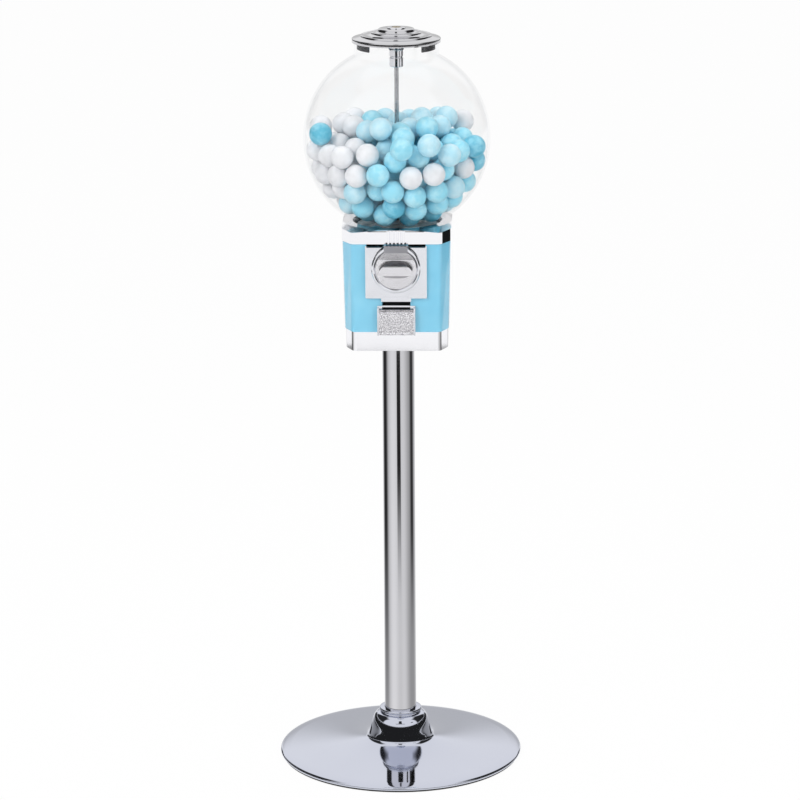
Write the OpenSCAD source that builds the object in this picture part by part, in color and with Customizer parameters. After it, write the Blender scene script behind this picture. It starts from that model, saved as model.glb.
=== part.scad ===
// Gumball machine on a pole stand.
// The origin is on the floor at the middle of the base, +Z is up and the front faces -Y.

/* [Base and pole] */
// Diameter of the round base
base_d = 340; // [300:5:400]
// Height from the floor to the top of the collar bead on the base
base_h = 66; // [60:1:80]
// Thickness of the base's spun sheet
base_sheet = 2; // [1.5:0.1:3]
// Outer diameter of the pole
pole_d = 44.4; // [38:0.2:48]
// Wall of the pole
pole_wall = 1.6; // [1.2:0.1:2.5]
// Bare length of pole between the base's bead and the body
pole_rise = 535; // [300:5:700]
// Thickness of the weight plate inside the base
weight_t = 8; // [6:1:10]

/* [Body] */
// Width of the body at its top
body_w = 146.7; // [140:0.5:180]
// Depth of the body from front to back
body_d = 146.7; // [140:0.5:180]
// Width of the body at its bottom
body_foot_w = 141.5; // [134:0.5:172]
// Width of the flat front and back
front_w = 118.8; // [104:0.2:124]
// Depth of the flat sides
side_w = 96; // [88:1:110]
// Height of the chromed trim under the body
trim_h = 26.5; // [22:0.5:34]
// Height of the painted body shell
shell_h = 121.5; // [120:0.5:150]
// Height of the chromed collar at its middle
collar_h = 19; // [17:0.5:24]
// Wall of the body shell
shell_wall = 2.5; // [2:0.1:3]

/* [Coin mechanism] */
// Width of the coin plate
plate_w = 82.9; // [76:0.5:100]
// Height of the coin plate above its tab
plate_h = 72.3; // [70:0.5:80]
// Thickness of the coin plate
plate_t = 3.5; // [3:0.1:5]
// Height of the knob's axis above the bottom of the body shell
knob_up = 89; // [88:0.5:91]
// Outer diameter of the raised ring round the knob
ring_d = 66.4; // [62:0.2:68]
// Width of the raised ring's band
ring_band = 5.4; // [4:0.1:6]
// Length of the knob's grip
grip_len = 45; // [36:0.5:45]
// Height of the knob's grip
grip_h = 25; // [18:0.5:26]
// How far the grip stands out from the knob's disc
grip_out = 15; // [10:0.5:20]
// Diameter of the knob's shaft
shaft_d = 10; // [8:0.5:12]
// Diameter of the coin that the machine takes
coin_d = 24.3; // [18:0.1:25]
// Thickness of the coin
coin_t = 1.75; // [1.4:0.05:2]

/* [Dispensing wheel] */
// Diameter of a gumball
ball_d = 31.2; // [28:0.2:32]
// Diameter of the dispensing wheel
wheel_d = 110; // [108:0.5:111]
// Radius of the circle that the pockets' centres lie on
pocket_r = 32.5; // [32:0.1:33]
// Play of a gumball in its pocket, on the diameter
pocket_play = 3.3; // [2.5:0.1:3.6]
// Number of pockets, and turns of the knob for one turn of the wheel
pockets = 5; // [5:1:5]
// Teeth on the pinion
pinion_teeth = 10; // [10:1:12]
// Mean radius of the ring gear under the wheel
ring_gear_r = 51.8; // [51:0.1:52]

/* [Chute] */
// Width of the chute door
door_w = 46.5; // [42:0.5:48]
// Height of the chute door
door_h = 35.5; // [34:0.5:37]
// Thickness of the chute door
door_t = 2.5; // [2:0.1:3]
// Wall of the chute
chute_wall = 1.5; // [1.2:0.1:2]

/* [Globe and lid] */
// Outer diameter of the globe
globe_d = 254; // [240:1:290]
// Wall of the globe
globe_wall = 2.5; // [2:0.1:3]
// Outer diameter of the globe's two necks
neck_d = 114; // [113:0.5:115]
// Length of the upper neck
neck_h = 19; // [16:0.5:24]
// Outer diameter of the lid
lid_d = 120.4; // [119:0.2:126]
// Rise of the lid from its rim to its middle
lid_rise = 16; // [14:0.5:20]
// Diameter of the lock barrel
barrel_d = 18.9; // [17:0.1:20]
// Length of the lock barrel below the lid's top
barrel_len = 52; // [46:1:56]
// Diameter of the centre rod
rod_d = 6; // [5:0.5:6]

/* [Gumballs] */
// Height above the globe's middle that the gumballs are poured to, before they settle
fill_up = 70; // [0:1:74]
// Seed of the heap's irregularity
heap_seed = 1; // [1:1:99]

/* [Fits] */
// Clearance between pieces that slip into each other, on the radius
slip = 0.3; // [0.25:0.05:0.4]
// Clearance of a shaft or pin in its bore, on the radius
run = 0.12; // [0.1:0.01:0.15]
// Smoothness of round pieces
facets = 96; // [48:8:160]

/* [Hidden] */
$fn = facets;
eps = 0.01;

// Heights, from the floor up
foot_h = 3;
body_z = base_h + pole_rise;
shell_z = body_z + trim_h;
collar_z = shell_z + shell_h;
collar_top = collar_z + collar_h;
seat_z = collar_top - 4;
gasket_t = 3;
flange_t = 2.5;
ledge_z = seat_z - gasket_t - flange_t;
globe_r = globe_d / 2;
neck_r = neck_d / 2;
low_neck_h = 3;
mouth_drop = sqrt(globe_r * globe_r - neck_r * neck_r);
globe_z = seat_z + low_neck_h + mouth_drop;
neck_top = globe_z + mouth_drop + neck_h;
lid_gasket_t = 3.2;
lid_cup = 2;
lid_z = neck_top + lid_gasket_t - lid_cup;
lid_sheet = 1.6;
lid_top = lid_z + lid_rise;

// Pole
pole_r = pole_d / 2;
pole_in_r = pole_r - pole_wall;
weight_z = 4;
hat_h = 6;
pole_z = weight_z + weight_t + hat_h;
plug_t = 12;
bolt_r = 5;
flange_plate_t = 4;
flange_r = 43;
spigot_h = 18;
screw_pcd_r = 33;
screw_r = 3;
nut_room_r = 14;

// Body
trim_inset = 1.2;
trim_floor = 3;
lip_h = 5;
crease_r = 5;
front_y = -body_d / 2;

// Dispensing wheel and its housing
wheel_r = wheel_d / 2;
housing_in_r = wheel_r + 0.8;
housing_wall = 2;
housing_out_r = housing_in_r + housing_wall;
housing_flange_r = housing_out_r + 2.8;
hole_r = housing_out_r + slip;
seat_r = housing_flange_r + slip;
pocket_rad = (ball_d + pocket_play) / 2;
wheel_top = seat_z - 1.5;
wheel_z = wheel_top - ball_d - 0.4;
platform_t = 2.5;
platform_r = ring_gear_r - 5;
drop_angle = -45;
drop_x = pocket_r * cos(drop_angle);
drop_y = pocket_r * sin(drop_angle);
step_angle = 360 / pockets;
wheel_rest = drop_angle + step_angle / 2;
cover_z = wheel_top + 0.4;
cover_t = 2;

// Gears
ring_teeth = pinion_teeth * pockets;
gear_module = 2 * ring_gear_r / ring_teeth;
pinion_r = gear_module * pinion_teeth / 2;
knob_z = shell_z + knob_up;
pitch_z = knob_z + pinion_r;
gear_add = 0.7 * gear_module;
gear_ded = 0.9 * gear_module;
tooth_w = 0.30 * PI * gear_module;
gear_face = 6.4;
skirt_in = ring_gear_r - gear_face / 2;
channel_z = pitch_z - gear_add - 1.2;

// Coin mechanism, from the front backwards
plate_back = front_y;
plate_front = plate_back - plate_t;
plate_top = collar_z - 1.7;
plate_z = plate_top - plate_h;
ring_r = ring_d / 2;
ring_in_r = ring_r - ring_band;
ring_out = 8;
disc_r = ring_in_r - slip;
carrier_t = coin_t + 1.2;
carrier_y = plate_front - slip - carrier_t;
disc_t = 3;
disc_y = carrier_y - disc_t;
grip_y = disc_y - grip_out;
shaft_r = shaft_d / 2;
tab_w = 40.5;
tab_h = 4.5;
block_w = 31.7;
block_h = 8.6;
block_top = plate_top + 0.8;
block_out = 9.2;
gap_h = 4.2;
gap_near = block_w / 2 + 0.6;
gap_far = plate_w / 2 - 1.6;
ratchet_t = 4;
ratchet_y = plate_back + shell_wall + 1;
ratchet_r = 18;
ratchet_teeth = 12;
ratchet_tooth = 2.2;
back_y = ratchet_y + ratchet_t + 2.5;
back_t = 2.5;
back_r = 28;
pillar_r = 3;
pillar_pcd_r = 25;
pinion_y = -ring_gear_r - gear_face / 2 - 0.3;
pinion_t = gear_face + 0.6;
shaft_end = pinion_y + pinion_t + 3;
pawl_x = -24.5;
pawl_up = -4;
pawl_tip = [10, -10.6];
pin_r = 1.5;
pillar_angles = [30, 150, 270];
bush_r = 7;

// Chute
door_z = shell_z - 3;
door_top = door_z + door_h;
frame_t = 3;
frame_band = 2.2;
frame_w = door_w + 2 * (frame_band + slip);
frame_y = front_y - frame_t;
door_y = frame_y - slip - door_t;
hinge_r = 1.2;
hinge_z = door_top - 2.2;
hinge_y = door_y + door_t / 2;
cheek_out = door_t + slip + 1.2;
mouth_w = door_w - 6;
mouth_z = shell_z + 2.5;
mouth_top = door_top - 2;
lip_gap_w = 38;
lintel_z = door_top + 2.4;
lintel_top = door_top + 4.6;
chute_in = ball_d / 2 + 1.2;
chute_y = front_y + shell_wall + slip;
tube_z = knob_z - 27;
tube_top = channel_z - 2;

// Base
bead_r = pole_r + 7;
bulge_r = pole_r + 18.5;
rim_r = base_d / 2;
rim_flange = 14;

// ---- Curves and outlines ----

// Points of a cubic curve from a to d with the handles b and c
function curve(a, b, c, d, n = 10) =
    [for (i = [0:n]) let (t = i / n, s = 1 - t)
        s * s * s * a + 3 * s * s * t * b + 3 * s * t * t * c + t * t * t * d];

function unit(v) = v / norm(v);

// The same line moved sideways by t, to the inside of a sheet whose outside is the line
function inner_line(p, t) =
    [for (i = [0:len(p) - 1])
        let (u = unit(p[min(i + 1, len(p) - 1)] - p[max(i - 1, 0)])) p[i] - t * [u[1], -u[0]]];

function backwards(p) = [for (i = [len(p) - 1:-1:0]) p[i]];

// Rounds each corner of a convex outline with a short curve that starts r away from the corner
function soften(pts, r, n = 4) =
    [for (i = [0:len(pts) - 1])
        let (p = pts[i], a = pts[(i + len(pts) - 1) % len(pts)], b = pts[(i + 1) % len(pts)],
             p0 = p + r * unit(a - p), p1 = p + r * unit(b - p))
        for (k = [0:n]) let (t = k / n) (1 - t) * (1 - t) * p0 + 2 * t * (1 - t) * p + t * t * p1];

function box_outline(w, d, r) =
    soften([[-w / 2, -d / 2], [w / 2, -d / 2], [w / 2, d / 2], [-w / 2, d / 2]], r);

// Outline of the body: flat front, back and sides with softly creased corner faces between them
function plan_outline(inset, w) =
    let (x = w / 2 - inset, y = body_d / 2 - inset, fx = (front_w - inset) / 2, sy = (side_w - inset) / 2)
    soften([[fx, -y], [x, -sy], [x, sy], [fx, y], [-fx, y], [-x, sy], [-x, -sy], [-fx, -y]], crease_r);

// Solid between two outlines with the same number of points, one above the other
module loft(low, z0, high, z1) {
    n = len(low);
    polyhedron(concat([for (p = low) [p[0], p[1], z0]], [for (p = high) [p[0], p[1], z1]]),
               concat([[for (i = [0:n - 1]) i], [for (i = [n - 1:-1:0]) n + i]],
                      [for (i = [0:n - 1]) let (j = (i + 1) % n) [i, n + i, n + j, j]]));
}

module plan(inset = 0, w = body_w) {
    polygon(plan_outline(inset, w));
}

// Cylinder lying along +Y from y
module along_y(r, y, h) {
    translate([0, y, 0]) rotate([-90, 0, 0]) cylinder(r = r, h = h);
}

// Outline in X and Z, extruded along +Y from y
module plate_y(y, h) {
    translate([0, y + h, 0]) rotate([90, 0, 0]) linear_extrude(h) children();
}

// Outline in Y and Z, extruded along X, centred
module across_x(w) {
    translate([-w / 2, 0, 0]) rotate([90, 0, 90]) linear_extrude(w) children();
}

module ring(r_out, r_in, h) {
    difference() {
        cylinder(r = r_out, h = h);
        translate([0, 0, -1]) cylinder(r = r_in, h = h + 2);
    }
}

// Hexagon prism given by its width across flats
module hex(flats, h) {
    cylinder(r = flats / sqrt(3), h = h, $fn = 6);
}

// Places its children on a bolt circle
module around(r, count, first) {
    for (i = [0:count - 1]) rotate([0, 0, first + i * 360 / count]) translate([r, 0, 0]) children();
}

// Places its children on a circle in the XZ plane round the knob's axis
module around_knob(r, angles) {
    for (a = angles) translate([r * cos(a), 0, knob_z + r * sin(a)]) children();
}

// ---- Base and pole ----

module foot_ring() {
    color("black")
        rotate_extrude()
            polygon([[rim_r - rim_flange + 0.5, 0], [rim_r - 3, 0], [rim_r - 2, foot_h],
                     [rim_r - rim_flange, foot_h]]);
}

// Outside of the base: rolled rim, flared dome and the bulge that the pole stands in
function base_line() =
    let (flare_r = bulge_r + 6.5, flare_z = base_h * 0.35)
    concat(
        curve([rim_r, foot_h + 1.5], [rim_r, foot_h + 4], [rim_r - 3, foot_h + 5],
              [rim_r - 8, foot_h + 5.8], 6),
        curve([rim_r - 14, foot_h + 6.6], [rim_r * 0.66, foot_h + 10], [flare_r + 24, flare_z - 7.5],
              [flare_r + 4, flare_z - 1.4], 16),
        curve([flare_r + 1.4, flare_z - 0.4], [flare_r - 1, flare_z + 0.6], [bulge_r + 4.6, flare_z + 2.4],
              [bulge_r + 3.6, flare_z + 6], 6),
        curve([bulge_r + 3, flare_z + 8.2], [bulge_r - 0.4, base_h * 0.66], [bulge_r - 1.2, base_h * 0.885],
              [bead_r - 0.8, base_h * 0.905], 12));

module base_dome() {
    sleeve_r = pole_r + slip;
    sleeve_z = base_h * 0.7;
    outer = base_line();
    color("lightgray")
        rotate_extrude()
            polygon(concat(
                outer,
                curve([bead_r - 0.8, base_h * 0.93], [bead_r + 1.2, base_h * 0.94], [bead_r + 1.2, base_h],
                      [bead_r - 1.6, base_h], 6),
                [[sleeve_r, base_h], [sleeve_r, sleeve_z], [sleeve_r + base_sheet, sleeve_z],
                 [sleeve_r + base_sheet, base_h * 0.905 - base_sheet]],
                backwards(inner_line(outer, base_sheet)),
                [[rim_r - rim_flange, foot_h + 1.5], [rim_r - rim_flange, foot_h], [rim_r - 1, foot_h]]));
}

// Radius at which the inside of the dome is as low as z
function dome_reach(z) = lookup(z, [for (p = inner_line(base_line(), base_sheet)) [p[1], p[0]]]);

module weight_plate() {
    edge_r = dome_reach(weight_z + weight_t + slip) - slip;
    top = weight_z + weight_t;
    color("dimgray")
        rotate_extrude()
            polygon([[bolt_r + run, weight_z + hat_h], [25, weight_z + hat_h], [29, weight_z],
                     [edge_r, weight_z], [edge_r, top], [pole_r + 12, top], [pole_r + 8, pole_z],
                     [pole_in_r - slip, pole_z], [pole_in_r - slip, pole_z + 3], [bolt_r + run, pole_z + 3]]);
}

module base_washer() {
    color("silver") translate([0, 0, weight_z + hat_h - 1.6]) ring(11, bolt_r + run, 1.6);
}

module base_bolt() {
    head_h = 6.4;
    color("silver")
        translate([0, 0, weight_z + hat_h - 1.6 - head_h]) {
            intersection() {
                hex(16, head_h);
                cylinder(r1 = 8.2, r2 = 14, h = head_h);
            }
            cylinder(r = bolt_r, h = head_h + 1.6 + weight_t + plug_t);
        }
}

module pole_plug() {
    color("dimgray") translate([0, 0, pole_z + 3]) ring(pole_in_r - run, bolt_r + run, plug_t);
}

module pole() {
    color("lightgray") translate([0, 0, pole_z]) ring(pole_r, pole_in_r, body_z - flange_plate_t - pole_z);
}

module pole_flange() {
    color("dimgray")
        difference() {
            translate([0, 0, body_z - flange_plate_t]) {
                cylinder(r = flange_r, h = flange_plate_t);
                translate([0, 0, -spigot_h]) cylinder(r = pole_in_r - run, h = spigot_h);
            }
            translate([0, 0, body_z - spigot_h - 10]) cylinder(r = nut_room_r, h = spigot_h + 12);
            translate([0, 0, body_z - 10]) around(screw_pcd_r, 4, 45) cylinder(r = screw_r + run, h = 12);
        }
}

module flange_screws() {
    color("silver")
        translate([0, 0, body_z + trim_floor])
            around(screw_pcd_r, 4, 45)
                difference() {
                    union() {
                        cylinder(r1 = 5.5, r2 = 4, h = 3);
                        translate([0, 0, -trim_floor - flange_plate_t]) cylinder(r = screw_r, h = 8);
                    }
                    translate([0, 0, 1.2]) hex(4, 3);
                }
}

// ---- Body ----

module base_trim() {
    wall = shell_wall + slip + 2;
    color("lightgray")
        difference() {
            union() {
                translate([0, 0, body_z]) linear_extrude(trim_h) plan(trim_inset, body_foot_w);
                translate([0, 0, shell_z - 2])
                    linear_extrude(lip_h + 2) plan(shell_wall + slip, body_foot_w);
            }
            translate([0, 0, body_z + trim_floor]) linear_extrude(trim_h + 20) plan(wall, body_foot_w);
            translate([0, front_y, shell_z + 10]) cube([mouth_w + 8, 20, 20], center = true);
            translate([0, 0, body_z - 1]) cylinder(r = rod_d / 2 + run, h = trim_floor + 2);
            translate([0, 0, body_z - 1]) around(screw_pcd_r, 4, 45) cylinder(r = screw_r + run, h = 6);
        }
}

module body_shell() {
    window_w = plate_w - 17;
    window_z = plate_z + 11;
    window_top = plate_top - 5.5;
    taper = (body_w - body_foot_w) / shell_h;
    color("skyblue")
        difference() {
            loft(plan_outline(0, body_foot_w), shell_z, plan_outline(0, body_w), collar_z);
            loft(plan_outline(shell_wall, body_foot_w - taper), shell_z - 1,
                 plan_outline(shell_wall, body_w + taper), collar_z + 1);
            translate([-window_w / 2, front_y - 1, window_z])
                cube([window_w, shell_wall + 2, window_top - window_z]);
            translate([-mouth_w / 2 - 1.5, front_y - 1, shell_z - 1])
                cube([mouth_w + 3, shell_wall + 2, mouth_top - shell_z + 2.5]);
            translate([0, 0, collar_z - gap_h]) over_plate(front_y - 1, shell_wall + 2, gap_h + 1);
            translate([-lip_gap_w / 2, front_y - 1, mouth_top])
                cube([lip_gap_w, shell_wall + 2, plate_z - tab_h + 0.6 - mouth_top]);
            plate_screw_places() along_y(2 + run, front_y - 1, shell_wall + 2);
        }
}

// Two rounded gaps, one on each side of the slot block, that start at the height 0
module over_plate(y, t, h) {
    for (s = [-1, 1])
        translate([s * (gap_far + gap_near) / 2, 0, (h + 4) / 2])
            plate_y(y, t) polygon(box_outline(gap_far - gap_near, h + 4, 1.8));
}

module coin_box() {
    w = 33;
    d = side_w - 10;
    h = 46;
    wall = 1.2;
    color("gray")
        translate([-body_foot_w / 2 + 6.5 + w / 2, 0, body_z + trim_floor])
            difference() {
                linear_extrude(h) polygon(box_outline(w, d, 5));
                translate([0, 0, wall]) linear_extrude(h) polygon(box_outline(w - 2 * wall, d - 2 * wall, 4));
            }
}

// Ribbed pad in the middle of the collar's front
module rib_pad(over) {
    pad_w = 24.8;
    ribs = 5;
    pitch = pad_w / ribs;
    y = front_y - over - 1.2;
    translate([-pad_w / 2, y, collar_z + 1.6]) cube([pad_w, 6, collar_h - 1.6]);
    for (i = [0:ribs - 1])
        translate([(i - (ribs - 1) / 2) * pitch, y, collar_z + 0.4]) cylinder(r = 1.75, h = collar_h - 1.1);
}

module collar() {
    over = 1;
    slope = 0.17;
    flat_r = body_d / 2 + over;
    far_r = body_w;
    hollow_h = collar_h - 7;
    color("gainsboro")
        difference() {
            union() {
                intersection() {
                    translate([0, 0, collar_z]) linear_extrude(collar_h) plan(-over);
                    translate([0, 0, collar_z])
                        rotate_extrude()
                            polygon([[0, 0], [far_r, 0], [far_r, collar_h - slope * (far_r - flat_r)],
                                     [flat_r, collar_h], [0, collar_h]]);
                }
                rib_pad(over);
                translate([0, 0, collar_z - 4]) linear_extrude(5) plan(shell_wall + slip);
            }
            translate([0, 0, ledge_z]) cylinder(r = seat_r, h = 20);
            translate([0, 0, collar_z - 5]) cylinder(r = hole_r, h = 40);
            translate([0, 0, collar_z - 5])
                linear_extrude(hollow_h)
                    difference() {
                        plan(shell_wall + slip + 2);
                        circle(r = hole_r + 3);
                    }
            translate([-gap_far, front_y, collar_z - 5]) cube([2 * gap_far, 8, 5]);
        }
}

// ---- Dispensing wheel ----

module wheel_housing() {
    plat_top = wheel_z - slip;
    plat_z = plat_top - platform_t;
    floor_z = channel_z - 2;
    bore = rod_d / 2 + run;
    color("whitesmoke")
        difference() {
            rotate_extrude()
                polygon([[bore, plat_z - 5], [8, plat_z - 5], [8, plat_z], [platform_r - 2, plat_z],
                         [platform_r - 2, floor_z], [housing_out_r, floor_z], [housing_out_r, ledge_z],
                         [housing_flange_r, ledge_z], [housing_flange_r, ledge_z + flange_t],
                         [housing_in_r, ledge_z + flange_t], [housing_in_r, channel_z],
                         [platform_r, channel_z], [platform_r, plat_top], [bore, plat_top]]);
            translate([drop_x, drop_y, floor_z - 5]) cylinder(r = chute_in, h = 30);
            translate([-pinion_r - 2.5, -housing_out_r - 1, floor_z - 1])
                cube([2 * pinion_r + 5, housing_out_r - platform_r + 0.4,
                      knob_z + pinion_r + gear_add + 1.2 - floor_z]);
        }
}

// One tooth of the ring gear, pointing down, centred on the X axis
module ring_tooth() {
    root_w = tooth_w + 0.9;
    tip_w = tooth_w - 0.7;
    translate([skirt_in - 2, 0, pitch_z])
        rotate([90, 0, 90])
            linear_extrude(gear_face + 4)
                polygon([[-root_w / 2, gear_ded + 0.5], [-root_w / 2, gear_ded], [-tip_w / 2, -gear_add],
                         [tip_w / 2, -gear_add], [root_w / 2, gear_ded], [root_w / 2, gear_ded + 0.5]]);
}

module ring_teeth_below() {
    intersection() {
        translate([0, 0, pitch_z - gear_add - 1]) ring(wheel_r, skirt_in, gear_add + gear_ded + 2);
        for (i = [0:ring_teeth - 1]) rotate([0, 0, -90 + (i + 0.5) * 360 / ring_teeth]) ring_tooth();
    }
}

module dispensing_wheel() {
    skirt_z = pitch_z + gear_ded;
    chamfer = 1;
    color("white")
        difference() {
            union() {
                translate([0, 0, skirt_z]) cylinder(r = wheel_r, h = wheel_top - skirt_z);
                ring_teeth_below();
            }
            translate([0, 0, skirt_z - 1]) cylinder(r = skirt_in, h = wheel_z - skirt_z + 1);
            translate([0, 0, wheel_z - 1]) cylinder(r = rod_d / 2 + run, h = 60);
            around(pocket_r, pockets, wheel_rest) {
                translate([0, 0, wheel_z - 1]) cylinder(r = pocket_rad, h = 60);
                translate([0, 0, wheel_top - chamfer])
                    cylinder(r1 = pocket_rad, r2 = pocket_rad + chamfer, h = chamfer + eps);
            }
        }
}

module wheel_gumballs() {
    color("powderblue")
        translate([0, 0, wheel_z + ball_d / 2])
            around(pocket_r, pockets, wheel_rest) sphere(d = ball_d);
}

module drop_cover() {
    reach = pocket_r + pocket_rad + 1;
    half = 31;
    color("whitesmoke")
        translate([0, 0, cover_z])
            difference() {
                union() {
                    cylinder(r = 9, h = cover_t + 3);
                    rotate([0, 0, drop_angle - half]) rotate_extrude(angle = 2 * half) square([reach, cover_t]);
                }
                translate([0, 0, -1]) cylinder(r = rod_d / 2 + run, h = 20);
            }
}

// ---- Globe and gumballs ----

module globe_gasket() {
    color("dimgray") translate([0, 0, seat_z - gasket_t]) ring(housing_flange_r, housing_in_r, gasket_t);
}

module globe() {
    in_r = neck_r - globe_wall;
    color("white", 0.3)
        difference() {
            union() {
                intersection() {
                    translate([0, 0, globe_z]) sphere(r = globe_r);
                    translate([0, 0, seat_z + 1]) cylinder(r = globe_r + 5, h = neck_top - seat_z - 5);
                }
                translate([0, 0, seat_z]) cylinder(r = neck_r, h = 12);
                translate([0, 0, neck_top - neck_h - 6]) cylinder(r = neck_r, h = neck_h + 6);
            }
            translate([0, 0, globe_z]) sphere(r = globe_r - globe_wall);
            translate([0, 0, seat_z - 1]) cylinder(r = in_r, h = neck_top - seat_z + 2);
        }
}

// The heap of gumballs is laid out as a shaken lattice and then settled: balls that are too close push
// each other apart, all of them sink, and the glass, the floor and the centre rod hold them in.
pack_d = ball_d + 0.5;
heap_room = globe_r - globe_wall - pack_d / 2;
heap_floor = cover_z + cover_t + slip + pack_d / 2;
heap_slope = 0.2;
heap_steps = 90;
top_up_level = globe_z + fill_up - 57;
top_up_tries = 72;
top_up_turn = 5;
top_up_step = 0.25;
relist = 10;

// Keeps one ball inside the globe, above the floor and off the centre rod
function held(p) =
    let (f = [p[0], p[1], max(p[2], heap_floor)],
         q = f - [0, 0, globe_z],
         g = norm(q) > heap_room ? q * (heap_room / norm(q)) : q,
         r = norm([g[0], g[1]]),
         keep = (rod_d + pack_d) / 2,
         s = r < keep ? keep / max(r, 0.01) : 1)
    [g[0] * s, g[1] * s, g[2] + globe_z];

// How far ball i is pushed by the neighbours that are too close to it
function push(i, balls, near) =
    let (all = [for (j = near[i]) let (d = balls[i] - balls[j], m = norm(d)) if (m < pack_d)
                   d * (pack_d / m - 1) * 0.55])
    len(all) == 0 ? [0, 0, 0] : [for (k = [0:2]) [for (v = all) v[k]] * [for (v = all) 1]];

// For each ball, the balls that it can meet within the next few steps
function neighbours(balls) =
    [for (i = [0:len(balls) - 1])
        [for (j = [0:len(balls) - 1]) if (j != i && norm(balls[i] - balls[j]) < 1.6 * pack_d) j]];

// The balls sink in the first half of the steps and only spread in the second half
function sink(n) = let (left = n / heap_steps) left > 0.5 ? 0.8 * left : 0;

function settled(balls, n, near = []) =
    n == 0 ? balls
           : let (now = n % relist == 0 ? neighbours(balls) : near)
             settled([for (i = [0:len(balls) - 1]) held(balls[i] + push(i, balls, now) - [0, 0, sink(n)])],
                     n - 1, now);

function lattice() =
    let (pitch = 1.07 * pack_d,
         layer_h = pitch * sqrt(2 / 3),
         row = pitch * sqrt(3) / 2,
         top = globe_z + fill_up - ball_d / 2,
         layers = floor((top - heap_floor) / layer_h),
         n = ceil(heap_room / pitch) + 1)
    [for (k = [0:layers], a = [-n:n], b = [-n:n])
        let (m = k % 3,
             p = [(a + (b % 2 == 0 ? 0 : 0.5) + m / 2) * pitch, (b + m / 3) * row, heap_floor + k * layer_h],
             r = norm([p[0], p[1]]))
        if (p[2] < top - heap_slope * r && norm(p - [0, 0, globe_z]) < heap_room
            && r > (rod_d + pack_d) / 2) p];

// Centre of a ball that touches the globe's wall in direction a at height z
function at_wall(a, z) =
    let (r = sqrt(heap_room * heap_room - (z - globe_z) * (z - globe_z)))
    [r * cos(a), r * sin(a), z];

// The same ball slid down the wall until it meets another one
function slid_down(a, z, balls) =
    let (next = at_wall(a, z - top_up_step))
    min([for (p = balls) norm(p - next)]) < pack_d ? at_wall(a, z) : slid_down(a, z - top_up_step, balls);

// Balls added along the wall, one after another, where the heap is lower than the level
function topped_up(balls, n) =
    n == 0 ? balls
           : let (p = slid_down(n * top_up_turn, globe_z + heap_room * 0.6, balls))
             topped_up(p[2] < top_up_level ? concat(balls, [p]) : balls, n - 1);

module gumballs() {
    start = lattice();
    shake = rands(-0.28, 0.28, 3 * len(start), heap_seed);
    shaken = [for (i = [0:len(start) - 1])
                 held(start[i] + ball_d * [shake[3 * i], shake[3 * i + 1], shake[3 * i + 2]])];
    color("lightblue")
        for (p = topped_up(settled(shaken, heap_steps), top_up_tries)) translate(p) sphere(d = ball_d);
}

// ---- Rod, lid and lock ----

rod_foot = body_z - 9;
barrel_z = lid_top - barrel_len;
barrel_r = barrel_d / 2;
plug_r = 6;
plug_len = 20;
rod_top = barrel_z + 16;

module centre_rod() {
    color("silver") translate([0, 0, rod_foot]) cylinder(r = rod_d / 2, h = rod_top - rod_foot);
}

module rod_washer() {
    color("silver") translate([0, 0, body_z - 1.4]) ring(9, rod_d / 2 + run, 1.4);
}

module rod_nut() {
    color("silver")
        translate([0, 0, body_z - 6.6])
            difference() {
                hex(10, 5.2);
                translate([0, 0, -1]) cylinder(r = rod_d / 2 + run, h = 8);
            }
}

module lid_gasket() {
    color("dimgray") translate([0, 0, neck_top]) ring(neck_r, neck_r - globe_wall, lid_gasket_t);
}

// Outside of the lid from its rim to its middle, with two rolled rings and a raised disc
function lid_line() =
    let (r = lid_d / 2, h = lid_rise)
    concat(
        [[r, -2.2]],
        curve([r, 1.6], [r, 3.2], [r - 1.4, 3.6], [r - 3, 3.9], 4),
        [[r * 0.84, h * 0.33]],
        curve([r * 0.81, h * 0.36], [r * 0.8, h * 0.5], [r * 0.77, h * 0.52], [r * 0.745, h * 0.46], 5),
        [[r * 0.6, h * 0.57]],
        curve([r * 0.575, h * 0.6], [r * 0.565, h * 0.74], [r * 0.535, h * 0.76], [r * 0.51, h * 0.7], 5),
        curve([r * 0.43, h * 0.76], [r * 0.415, h * 0.8], [r * 0.41, h], [r * 0.37, h], 5));

module lid() {
    outer = lid_line();
    hole = barrel_r + run;
    color("lightgray")
        translate([0, 0, lid_z])
            rotate_extrude()
                polygon(concat(outer, [[hole, lid_rise], [hole, lid_rise - lid_sheet]],
                               backwards(inner_line(outer, lid_sheet))));
}

module lid_clips() {
    arc = 36;
    in_r = neck_r - globe_wall - 0.6;
    top = lid_z + 2.4;
    foot = neck_top - 10;
    color("black")
        for (a = [-30, 90, 210]) rotate([0, 0, a - arc / 2])
            rotate_extrude(angle = arc)
                polygon([[in_r - 2.2, foot + 0.6], [in_r - 1.6, foot], [in_r - 0.5, foot], [in_r, foot + 0.6],
                         [in_r, top], [in_r - 2.2, top]]);
}

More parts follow.
